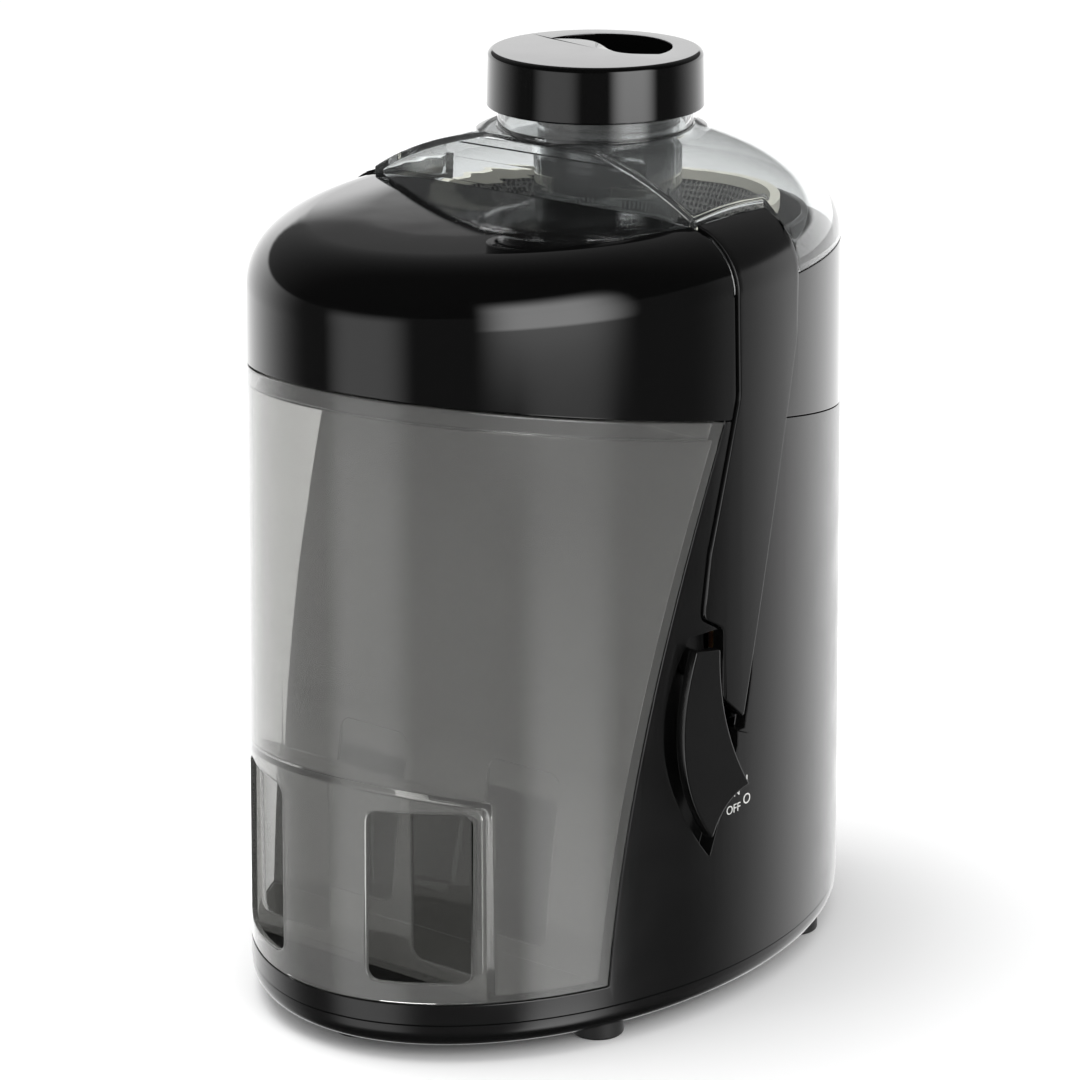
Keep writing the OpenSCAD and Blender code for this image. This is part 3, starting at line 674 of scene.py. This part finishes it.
def clear_plastic(name, tint, through, roughness, haze_mm):
    """A clear styrene plastic, polished, with its tint in the wall and a slight unevenness of gloss.

    It lets lamp light straight through, because a thin moulded wall hardly gathers it.
    """
    material, tree, place = blank_material(name)
    wave = add_node(
        tree, "ShaderNodeTexNoise", {"Scale": 1 / (haze_mm * mm), "Detail": 2.0}, {"Vector": place}
    )
    bump = add_node(
        tree, "ShaderNodeBump", {"Strength": 0.3, "Distance": 0.06 * mm}, {"Height": wave.outputs["Fac"]}
    )
    gloss = add_node(
        tree, "ShaderNodeMapRange", {"To Min": roughness * 0.6, "To Max": roughness * 1.4},
        {"Value": wave.outputs["Fac"]},
    )
    body = add_node(
        tree, "ShaderNodeBsdfPrincipled",
        {"Base Color": linear(tint), "IOR": 1.57, "Transmission Weight": through},
        {"Normal": bump.outputs["Normal"], "Roughness": gloss.outputs["Result"]},
    )
    lamp_ray = add_node(tree, "ShaderNodeLightPath").outputs["Is Shadow Ray"]
    gap = add_node(tree, "ShaderNodeBsdfTransparent", {"Color": linear(tint)})
    surface = add_node(
        tree, "ShaderNodeMixShader", None, {0: lamp_ray, 1: body.outputs["BSDF"], 2: gap.outputs["BSDF"]}
    )
    add_node(tree, "ShaderNodeOutputMaterial", None, {"Surface": surface.outputs["Shader"]})
    return material


# Water-clear and glossy, with only a trace of grey
clear_san = clear_plastic("san_moulded_clear", "#f6f8f8", 0.985, 0.012, 20)
coat(lid, clear_san)
stands_for(lid, "lid", "lid")

# ---------- Pusher ----------
# The food pusher, a hollow gloss black ABS moulding: a round cap with a softly rounded top edge that
# laps the lid's collar, a D-shaped hole in it for the fingers, and a shaft with a rounded end that
# slides in the chute.
pusher_low, pusher_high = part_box("pusher")
cap_top = pusher_high.z
cap_h = 20 * mm
cap_r = (pusher_high.x - pusher_low.x) / 2
shaft_r = 23.5 * mm
shaft_wall = 2.6 * mm
shaft_floor = 3 * mm
shaft_round = 5 * mm


def turned(name, profile, y, steps=160, x=middle_x):
    """A round piece spun from half of its section, given as (radius, height) points."""
    bpy.ops.object.select_all(action="DESELECT")
    corners = [Vector((x + r, y, z)) for r, z in profile]
    bpy.ops.mesh.primitive_plane_add(size=mm, location=corners[0])
    piece = bpy.context.object
    piece.name = name
    edit(piece)
    bpy.ops.mesh.merge(type="CENTER")
    for here, there in zip(corners, corners[1:]):
        bpy.ops.mesh.extrude_region_move(TRANSFORM_OT_translate={"value": there - here})
    bpy.ops.mesh.select_all(action="SELECT")
    bpy.ops.mesh.spin(steps=steps, angle=2 * math.pi, center=(x, y, 0), axis=(0, 0, 1))
    bpy.ops.mesh.select_all(action="SELECT")
    bpy.ops.mesh.remove_doubles(threshold=0.005 * mm)
    return close(piece)


def arc(middle, radius, start, end, steps=8):
    """Points (radius, height) along part of a circle, its angles in degrees."""
    angles = [math.radians(start + (end - start) * i / steps) for i in range(steps + 1)]
    return [(middle[0] + radius * math.cos(a), middle[1] + radius * math.sin(a)) for a in angles]


cap_round = 2 * mm
cap_foot = cap_top - cap_h
pusher = turned(
    "pusher_cap",
    [(0, cap_foot), (cap_r - 0.4 * mm, cap_foot), (cap_r, cap_foot + 0.4 * mm)]
    + arc((cap_r - cap_round - 0.5 * mm, cap_top - cap_round), cap_round, 0, 90)
    + [(0, cap_top)],
    cap_y,
)
cap_top_t = 12 * mm
cap_clear = 1 * mm
combine(pusher, upright("cap_room", collar_r + cap_clear, cap_foot - mm, cap_top - cap_top_t, cap_y))
shaft = turned(
    "pusher_shaft",
    [(0, pusher_low.z)]
    + arc((shaft_r - shaft_round, pusher_low.z + shaft_round), shaft_round, -90, 0)
    + [(shaft_r, cap_top - 6 * mm), (0, cap_top - 6 * mm)],
    chute_y,
)
combine(pusher, shaft, "UNION")
shaft_bore = shaft_r - shaft_wall
combine(pusher, upright("shaft_room", shaft_bore, pusher_low.z + shaft_floor, cap_top - 3 * mm, chute_y))
hole_r = 24.5 * mm
hole_y = cap_y + 5 * mm
hole_wave = 6 * mm
half_steps = 14
front_edge = [
    (-hole_r + i * hole_r / half_steps, hole_wave * math.sin(math.pi * (1 - i / half_steps)))
    for i in range(2 * half_steps + 1)
]
back_edge = arc((0, 0), hole_r, 10, 170, 18)
hole_foot = Vector((middle_x, hole_y, cap_top - 9 * mm))
hole = drawn("finger_hole", front_edge + back_edge, hole_foot, X, Y, 20 * mm)
combine(pusher, hole)
crisp(pusher, 0.3 * mm)
coat(pusher, gloss_abs)
stands_for(pusher, "pusher", "pusher")

# ---------- Pulp container ----------
# The bin that takes the pulp, moulded in smoke-clear SAN. Its skin carries on the body's oval, its
# back follows the housing's barrel wall, and a stepped pocket in its foot leaves an upright grip bar
# between two windows for the fingers.
container_wall = 2.2 * mm
container_z = tray_z + seat_gap
pocket_half = 53.5 * mm
pocket_y = -half_long + 28 * mm
pocket_h = 79 * mm
pocket_slope = 0.27
bar_half = 19 * mm
rim_drop = 6.5 * mm
rim_step = 1.4 * mm


def pocket_top(y):
    """Height of the container's stepped floor over the grip pocket."""
    return tray_z + pocket_h - pocket_slope * (y + half_long)


def container_core(inset, lift):
    """The container's form at a depth under its skin, up to a height over the hood's lower edge."""
    core = tower("container", body_ovals(inset, container_z + inset))
    slice_off(core, (0, 0, seam_z(0) + lift), seam_up)
    over = 0.34
    back = barrel_arc(0, over, -seat_gap - inset)
    combine(core, across("behind", back + [(far_back, over), (far_back, 0)], far_side))
    return core


def pocket(grow):
    """The grip pocket under the stepped floor."""
    corner_y = pocket_y + grow
    back_top, front_top = pocket_top(pocket_y) + grow, pocket_top(far_front) + grow
    points = [(far_front, 0), (corner_y, 0), (corner_y, back_top), (far_front, front_top)]
    return across("pocket", points, pocket_half + grow)


container = container_core(0, -seat_gap)
pulp_room = container_core(container_wall, -rim_drop)
combine(pulp_room, container_core(container_wall + rim_step, 20 * mm), "UNION")
combine(pulp_room, pocket(container_wall))
combine(container, pulp_room)
grip_room = tower("grip_room", body_ovals(container_wall, 1 * mm))
combine(grip_room, pocket(0), "INTERSECT")
combine(container, grip_room)
window_corner = 4 * mm
window_low = tray_z + 8 * mm
window_high = pocket_top(pocket_y) - 1 * mm
window_wide = pocket_half - bar_half - 3 * mm
window_back, window_depth = -0.06, 0.14
for side in (-1, 1):
    inner, outer = side * bar_half, side * (bar_half + window_wide)
    frame_points = [(inner, window_low), (outer, window_low), (outer, window_high), (inner, window_high)]
    if side < 0:
        frame_points.reverse()
    window_start = Vector((middle_x, window_back, 0))
    combine(container, drawn("window", frame_points, window_start, X, Z, window_depth, window_corner))
crisp(container, 0.7 * mm)
# Grey in the wall and faintly milky, so it looks light over white and mid grey over black
smoke_san = clear_plastic("san_moulded_smoke_clear", "#d6d6d4", 0.93, 0.015, 26)
coat(container, smoke_san)
stands_for(container, "pulp_container", "pulp_container")

# ---------- Latches ----------
# Two satin black ABS arms, one in each side's channel, that turn on steel pins in the housing and hook
# over the lid's shoulders. Each stands a little proud of the body, so that a finger can pull it out.
latch_right = latch_blank(0)
combine(latch_right, tower("skin", body_ovals(-latch_proud, 5 * mm)), "INTERSECT")
combine(latch_right, tower("core", body_ovals(latch_t - latch_proud, 5 * mm)))
latch_right.name = "latch_arm_right"
crisp(latch_right, 0.8 * mm)
# The latches' skin is a little duller than the hood's and shows the light as soft bands
satin_abs = moulded_black("abs_moulded_satin_black", "#0b0b0b", 0.16, 14, 0.03, 0.02)
coat(latch_right, satin_abs)
latch_left = mirrored(latch_right)
latch_left.name = "latch_arm_left"
bpy.ops.object.shade_smooth_by_angle(angle=math.radians(35))
stands_for(latch_right, "latch_right", "latch_right")
stands_for(latch_left, "latch_left", "latch_left")

# ---------- Bottom cover, feet and screws ----------
# The black ABS pan that closes the housing from below, rounded under its edge. Four screws hold it,
# and five round rubber feet sit in sockets under it.
cover_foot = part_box("bottom_cover")[0].z
cover_round = base_z - 2.5 * mm
cover_gap = 0.3 * mm
cover_tuck = 10.7 * mm
cover_ovals = []
for step in range(9):
    turn = math.radians(90 - 11.25 * step)
    cover_ovals.append(oval_at(
        cover_round - (cover_round - cover_foot) * math.sin(turn),
        cover_gap + cover_tuck * (1 - math.cos(turn)),
    ))
# Up over the bevelled edge, then down inside to the pan's floor
for edge_z, inset in (
    (base_z - 0.4 * mm, cover_gap), (base_z, 0.8 * mm), (base_z, 3 * mm),
    (cover_foot + 6 * mm, 6 * mm), (cover_foot + 2.5 * mm, 13 * mm),
):
    cover_ovals.append(oval_at(edge_z, inset))
cover = tower("bottom_pan", cover_ovals)
crisp(cover, 0)
coat(cover, housing_abs)
stands_for(cover, "bottom_cover", "housing")

rubber, rubber_tree, rubber_place = blank_material("rubber_moulded_black")
grit_size = 0.8 * mm
grit = add_node(
    rubber_tree, "ShaderNodeTexNoise", {"Scale": 1 / grit_size, "Detail": 3.0}, {"Vector": rubber_place}
)
pits = add_node(
    rubber_tree, "ShaderNodeBump", {"Strength": 0.4, "Distance": 0.08 * mm}, {"Height": grit.outputs["Fac"]}
)
# Moulded rubber is matt and slightly grey
rubber_skin = add_node(
    rubber_tree, "ShaderNodeBsdfPrincipled",
    {"Base Color": linear("#161616"), "Roughness": 0.62, "IOR": 1.52}, {"Normal": pits.outputs["Normal"]},
)
add_node(rubber_tree, "ShaderNodeOutputMaterial", None, {"Surface": rubber_skin.outputs["BSDF"]})


def show(node, material):
    """Gives a CAD node that stays in view its real material."""
    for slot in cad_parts[node].material_slots:
        slot.material = material


for node in ("foot_front", "foot_front_right", "foot_front_left", "foot_rear_right", "foot_rear_left"):
    low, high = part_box(node)
    foot_r = (high.x - low.x) / 2
    rim = foot_r - 1 * mm
    foot = turned(
        node + "_pad",
        [(0, low.z + 1.2 * mm), (rim * 0.55, low.z + 1.2 * mm), (rim * 0.7, low.z), (rim, low.z)]
        + arc((foot_r - 1 * mm, low.z + 1 * mm), 1 * mm, -90, 0, 4)
        + [(foot_r, high.z), (0, high.z)],
        (low.y + high.y) / 2,
        64,
        (low.x + high.x) / 2,
    )
    crisp(foot, 0)
    coat(foot, rubber)
    stands_for(foot, node, "housing")

show("cord_gland", rubber)

# ---------- Switch lever ----------
# The long lever that turns the juicer on: a satin black ABS blade with a pointed thumb tip, on a
# spindle that goes through a hollow in the housing's right side to the rotary switch.
spindle_t = -6 * mm
spindle_z = lever_z + 3.5 * mm
lever_lift = 1 * mm
lever_t = 4 * mm
hub_r, hub_depth = 5 * mm, 5.4 * mm
spindle_r, spindle_depth = 4 * mm, 26 * mm
lever_outline = lifted(
    bend((0.5, 9), (0, -20), (17, -45.5), 14)
    + bend((17, -45.5), (4, -47), (-2, -60), 8)[1:]
    + bend((-3, -61), (-28, -30), (-12, 11), 16)
)
lever_start = lever_home + lever_out * lever_lift
lever = drawn("lever_blade", lever_outline, lever_start, lever_along, Z, lever_t)
pivot = lever_home + lever_along * spindle_t + Z * spindle_z
pivot_end = pivot + lever_out * 2 * mm
combine(lever, rod("hub", hub_r, pivot - lever_out * hub_depth, pivot_end, 48), "UNION")
combine(lever, rod("spindle", spindle_r, pivot - lever_out * spindle_depth, pivot_end, 48), "UNION")
crisp(lever, 1.0 * mm, 40)
coat(lever, satin_abs)
stands_for(lever, "power_lever", "power_lever")

# The on and off marks beside the lever's tip are pad-printed in white ink straight on the housing
ink, ink_tree, ink_place = blank_material("ink_pad_printed_white")
speck_size = 0.5 * mm
speck = add_node(
    ink_tree, "ShaderNodeTexNoise", {"Scale": 1 / speck_size, "Detail": 2.0}, {"Vector": ink_place}
)
cover_of_ink = add_node(
    ink_tree, "ShaderNodeMix", {6: linear("#c9c9c6"), 7: linear("#efefec")}, {0: speck.outputs["Fac"]},
    data_type="RGBA",
)
ink_skin = add_node(
    ink_tree, "ShaderNodeBsdfPrincipled", {"Roughness": 0.45, "IOR": 1.5},
    {"Base Color": cover_of_ink.outputs[2]},
)
add_node(ink_tree, "ShaderNodeOutputMaterial", None, {"Surface": ink_skin.outputs["BSDF"]})


def skin_point(y, z):
    """The point of the body's right side at a place, and the way it faces."""
    share = narrowing(z)
    wide, long = half_wide * share, half_long * share
    x = wide * math.sqrt(1 - (y / long) ** 2)
    facing = Vector((x / wide ** 2, y / long ** 2, 0)).normalized()
    return Vector((middle_x + x, y, z)), facing


def printed(name, words, y, z, size):
    """A printed mark on the body's right side, as a thin raised film of ink."""
    point, facing = skin_point(y, z)
    bpy.ops.object.select_all(action="DESELECT")
    bpy.ops.object.text_add()
    mark = bpy.context.object
    mark.name = name
    mark.data.body = words
    mark.data.size = size
    mark.data.align_x = "CENTER"
    mark.data.align_y = "CENTER"
    mark.data.extrude = 0.04 * mm
    along = Z.cross(facing)
    turn = Matrix((along, Z, facing)).transposed().to_4x4()
    mark.matrix_world = Matrix.Translation(point + facing * 0.05 * mm) @ turn
    bpy.context.view_layer.update()
    bpy.ops.object.convert(target="MESH")
    bpy.ops.object.transform_apply(location=True, rotation=True, scale=True)
    coat(mark, ink)
    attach(mark, "housing")


mark_y, mark_size = lever_y + 21.3 * mm, 5.5 * mm
word_y, word_size = lever_y + 13.6 * mm, 4.6 * mm
printed("mark_on", "I", mark_y, lever_z - 46.8 * mm, mark_size)
printed("mark_off", "O", mark_y, lever_z - 53.8 * mm, mark_size)
printed("word_on", "ON", word_y, lever_z - 49.5 * mm, word_size)
printed("word_off", "OFF", word_y, lever_z - 55.5 * mm, word_size)

# ---------- Filter basket ----------
# The spinning basket: a cone of thin stainless sheet with rows of punched holes, between a moulded
# white base that locks on the drive coupling and a rim, with a toothed grater disc on its floor.
mesh_low, mesh_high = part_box("basket_mesh")
basket_rows = 12
foot_r = 48 * mm
mouth_r = 61.1 * mm
holes_round = 180
mesh_wide, mesh_tall = mouth_r - foot_r, mesh_high.z - mesh_low.z
basket_side = [
    (foot_r + mesh_wide * i / basket_rows, mesh_low.z + mesh_tall * i / basket_rows)
    for i in range(basket_rows + 1)
]
basket = turned("basket_sheet", basket_side, shaft_y, holes_round)
edit(basket)
bpy.ops.mesh.inset(thickness=0.45 * mm, use_individual=True, use_boundary=True)
bpy.ops.mesh.delete(type="ONLY_FACE")
in_order()
bpy.ops.object.mode_set(mode="OBJECT")
sheet = basket.modifiers.new("sheet", "SOLIDIFY")
sheet.thickness = 0.5 * mm
sheet.offset = 1
bpy.ops.object.modifier_apply(modifier=sheet.name)
bpy.ops.object.shade_smooth_by_angle(angle=math.radians(30))


def worked_metal(name, colour, roughness, grain_mm, stretch, depth_mm):
    """A bare metal with the fine lines or grain that rolling, drawing or grinding leaves in it."""
    material, tree, place = blank_material(name)
    lie = add_node(tree, "ShaderNodeMapping", {"Scale": stretch}, {"Vector": place})
    grain = add_node(
        tree, "ShaderNodeTexNoise", {"Scale": 1 / (grain_mm * mm), "Detail": 4.0},
        {"Vector": lie.outputs["Vector"]},
    )
    bump = add_node(
        tree, "ShaderNodeBump", {"Strength": 0.5, "Distance": depth_mm * mm},
        {"Height": grain.outputs["Fac"]},
    )
    gloss = add_node(
        tree, "ShaderNodeMapRange", {"To Min": roughness * 0.7, "To Max": roughness * 1.3},
        {"Value": grain.outputs["Fac"]},
    )
    surface = add_node(
        tree, "ShaderNodeBsdfPrincipled", {"Base Color": linear(colour), "Metallic": 1.0},
        {"Normal": bump.outputs["Normal"], "Roughness": gloss.outputs["Result"]},
    )
    add_node(tree, "ShaderNodeOutputMaterial", None, {"Surface": surface.outputs["BSDF"]})
    return material


# Rolled stainless sheet, bright with a slight grain along the rolling
stainless = worked_metal("stainless_steel_rolled", "#c9c8c5", 0.24, 1.5, (1, 1, 0.15), 0.02)
coat(basket, stainless)
stands_for(basket, "basket_mesh", "rotor")
show("grater_disc", stainless)


def moulded_part(name, colour, roughness, grain_mm, depth_mm):
    """A plain moulded plastic with the fine texture that its mould was sparked with."""
    material, tree, place = blank_material(name)
    grain = add_node(
        tree, "ShaderNodeTexNoise", {"Scale": 1 / (grain_mm * mm), "Detail": 3.0}, {"Vector": place}
    )
    bump = add_node(
        tree, "ShaderNodeBump", {"Strength": 0.5, "Distance": depth_mm * mm},
        {"Height": grain.outputs["Fac"]},
    )
    surface = add_node(
        tree, "ShaderNodeBsdfPrincipled",
        {"Base Color": linear(colour), "Roughness": roughness, "IOR": 1.5},
        {"Normal": bump.outputs["Normal"]},
    )
    add_node(tree, "ShaderNodeOutputMaterial", None, {"Surface": surface.outputs["BSDF"]})
    return material


# Natural nylon is off-white and waxy, with a fine sparked grain
white_nylon = moulded_part("nylon_moulded_natural", "#dcd8cb", 0.42, 0.9, 0.03)
for node in ("basket_base", "basket_rim", "drive_coupling", "cooling_fan"):
    show(node, white_nylon)

# ---------- Motor ----------
# The universal motor hangs under the deck on four long bolts: a stack of steel laminations with two
# field coils, a wound armature with a copper commutator, carbon brushes in brass holders, and cast
# brackets with bronze bearings.

# Laminations are matt blue-grey sheet with fine level lines where the sheets meet
lamination = worked_metal("steel_laminated_stack", "#6e6f72", 0.45, 0.8, (0.2, 0.2, 3), 0.05)
# Enamelled copper wire is red-brown and shiny, drawn here as fine windings
copper_wire = worked_metal("copper_wire_enamelled", "#a3532a", 0.28, 0.7, (1, 1, 4), 0.08)
# Turned brass and bronze, bright with fine rings
brass = worked_metal("brass_turned", "#c29a55", 0.25, 1.0, (0.3, 0.3, 3), 0.02)
# Zinc-plated steel, bright and slightly cloudy
zinc_steel = worked_metal("steel_zinc_plated", "#b9bcc0", 0.3, 4.0, (1, 1, 1), 0.01)
# Pressed carbon is soft black with a dull sheen
carbon = moulded_part("carbon_pressed", "#1d1d1e", 0.55, 0.4, 0.03)
# The switches' housings are dark glass-filled plastic
switch_plastic = moulded_part("pbt_moulded_dark", "#23272b", 0.5, 0.6, 0.03)
inside_materials = {
    lamination: ("stator_core", "armature_core"),
    copper_wire: ("field_coils", "armature_winding", "commutator"),
    brass: ("upper_bearing", "lower_bearing", "brush_holders"),
    zinc_steel: ("upper_bracket", "lower_bracket", "motor_bolts", "motor_shaft", "cover_screws",
                 "latch_pin_right", "latch_pin_left", "switch_clip"),
    carbon: ("carbon_brushes",),
    switch_plastic: ("suppressor_capacitor", "power_switch", "interlock_switch"),
    rubber: ("shaft_seal",),
}
for material, nodes in inside_materials.items():
    for node in nodes:
        show(node, material)

# ---------- Floor and light ----------
# A wide white floor, and a plain studio: a white backdrop behind the juicer, a dark room on the camera's
# side, and strip lights that the gloss black plastic mirrors, with soft boxes that light it without showing
# in the gloss.
bpy.ops.object.select_all(action="DESELECT")
bpy.ops.mesh.primitive_circle_add(vertices=96, radius=4.5, fill_type="NGON", location=(0, 0, 0))
floor = bpy.context.object
floor.name = "floor"
# White paper is quite matt and gives an even, shadow-catching ground
paper, paper_tree = blank_material("paper_white_backdrop")[:2]
paper_skin = add_node(paper_tree, "ShaderNodeBsdfDiffuse", {"Color": linear("#fafafa")})
add_node(paper_tree, "ShaderNodeOutputMaterial", None, {"Surface": paper_skin.outputs["BSDF"]})
coat(floor, paper)
floor.visible_glossy = False

world = bpy.data.worlds.new("studio")
world.use_nodes = True
bpy.context.scene.world = world
studio = world.node_tree
studio.nodes.clear()
way = add_node(studio, "ShaderNodeTexCoord").outputs["Generated"]
parts = add_node(studio, "ShaderNodeSeparateXYZ", None, {"Vector": way}).outputs


def calculated(operation, first, second=0):
    """One step of arithmetic on two values, each a number or a node's output."""
    step = add_node(studio, "ShaderNodeMath", operation=operation)
    for socket, value in zip(step.inputs, (first, second)):
        if isinstance(value, (int, float)):
            socket.default_value = value
        else:
            studio.links.new(value, socket)
    return step.outputs[0]


def ramp(value, start, end, low, high):
    """A soft step from one value to another."""
    step = add_node(
        studio, "ShaderNodeMapRange", {"From Min": start, "From Max": end, "To Min": low, "To Max": high},
        {"Value": value}, interpolation_type="SMOOTHSTEP",
    )
    return step.outputs["Result"]


def strip_light(turn, half_width, low, high, strength):
    """A tall strip light at a bearing from the front, with soft edges, between two heights."""
    bearing = math.radians(turn)
    dot = add_node(
        studio, "ShaderNodeVectorMath", {1: (math.sin(bearing), -math.cos(bearing), 0)}, {0: way},
        operation="DOT_PRODUCT",
    ).outputs["Value"]
    height_squared = calculated("MULTIPLY", parts["Z"], parts["Z"])
    level = calculated("SQRT", calculated("SUBTRACT", 1.0, height_squared))
    across_it = calculated("DIVIDE", dot, level)
    softness = 12
    edge = math.cos(math.radians(half_width + softness))
    core = math.cos(math.radians(max(half_width - softness, 0)))
    wide = ramp(across_it, edge, core, 0, strength)
    foot = ramp(parts["Z"], low - 0.08, low + 0.08, 0, 1)
    head = ramp(parts["Z"], high - 0.15, high + 0.15, 1, 0)
    tall = calculated("MULTIPLY", foot, head)
    return calculated("MULTIPLY", wide, tall)


# The gloss black mirrors a white backdrop behind the juicer that fades out above and below it, and
# three strip lights: one in front and two at the right
facing_camera = add_node(
    studio, "ShaderNodeVectorMath", {1: (towards_camera.x, towards_camera.y, 0)}, {0: way},
    operation="DOT_PRODUCT",
).outputs["Value"]
backdrop = ramp(facing_camera, 0.1, -0.85, 0.08, 1.6)
backdrop = calculated("MULTIPLY", backdrop, ramp(parts["Z"], 0.185, 0.235, 1, 0.1))
backdrop = calculated("MULTIPLY", backdrop, ramp(parts["Z"], -0.8, -0.45, 0.05, 1))
glow = calculated("ADD", backdrop, strip_light(-5, 17, -0.6, 0.15, 1.1))
glow = calculated("ADD", glow, strip_light(78, 17, -0.2, 0.5, 4.2))
glow = calculated("ADD", glow, strip_light(84, 6, -0.7, -0.33, 3.0))
seen_in_gloss = add_node(studio, "ShaderNodeBackground", {"Color": (1, 1, 1, 1)}, {"Strength": glow})
# Everything else sees plain white all round
all_round = add_node(studio, "ShaderNodeBackground", {"Color": (1, 1, 1, 1), "Strength": 1.0})
rays = add_node(studio, "ShaderNodeLightPath").outputs
mirrored_only = calculated("MINIMUM", rays["Glossy Depth"], 1)
sky = add_node(
    studio, "ShaderNodeMixShader", None,
    {0: mirrored_only, 1: all_round.outputs[0], 2: seen_in_gloss.outputs[0]},
)
add_node(studio, "ShaderNodeOutputWorld", None, {"Surface": sky.outputs["Shader"]})


def soft_box(name, place, target, wide, high, power):
    """A soft box at a place, turned to a target."""
    away = Vector(place) - Vector(target)
    bpy.ops.object.light_add(type="AREA", location=place, rotation=away.to_track_quat("Z", "Y").to_euler())
    lamp = bpy.context.object
    lamp.name = name
    lamp.data.shape = "RECTANGLE"
    lamp.data.size = wide
    lamp.data.size_y = high
    lamp.data.energy = power
    lamp.visible_camera = False
    lamp.visible_glossy = False


soft_box("box_overhead", (-0.5, -0.3, 1.8), (0, 0, 0.2), 1.4, 1.0, 16)
soft_box("box_right", (1.8, -0.6, 1.3), (0, 0, 0.25), 0.9, 0.9, 8)

bpy.context.scene.view_settings.view_transform = "Standard"
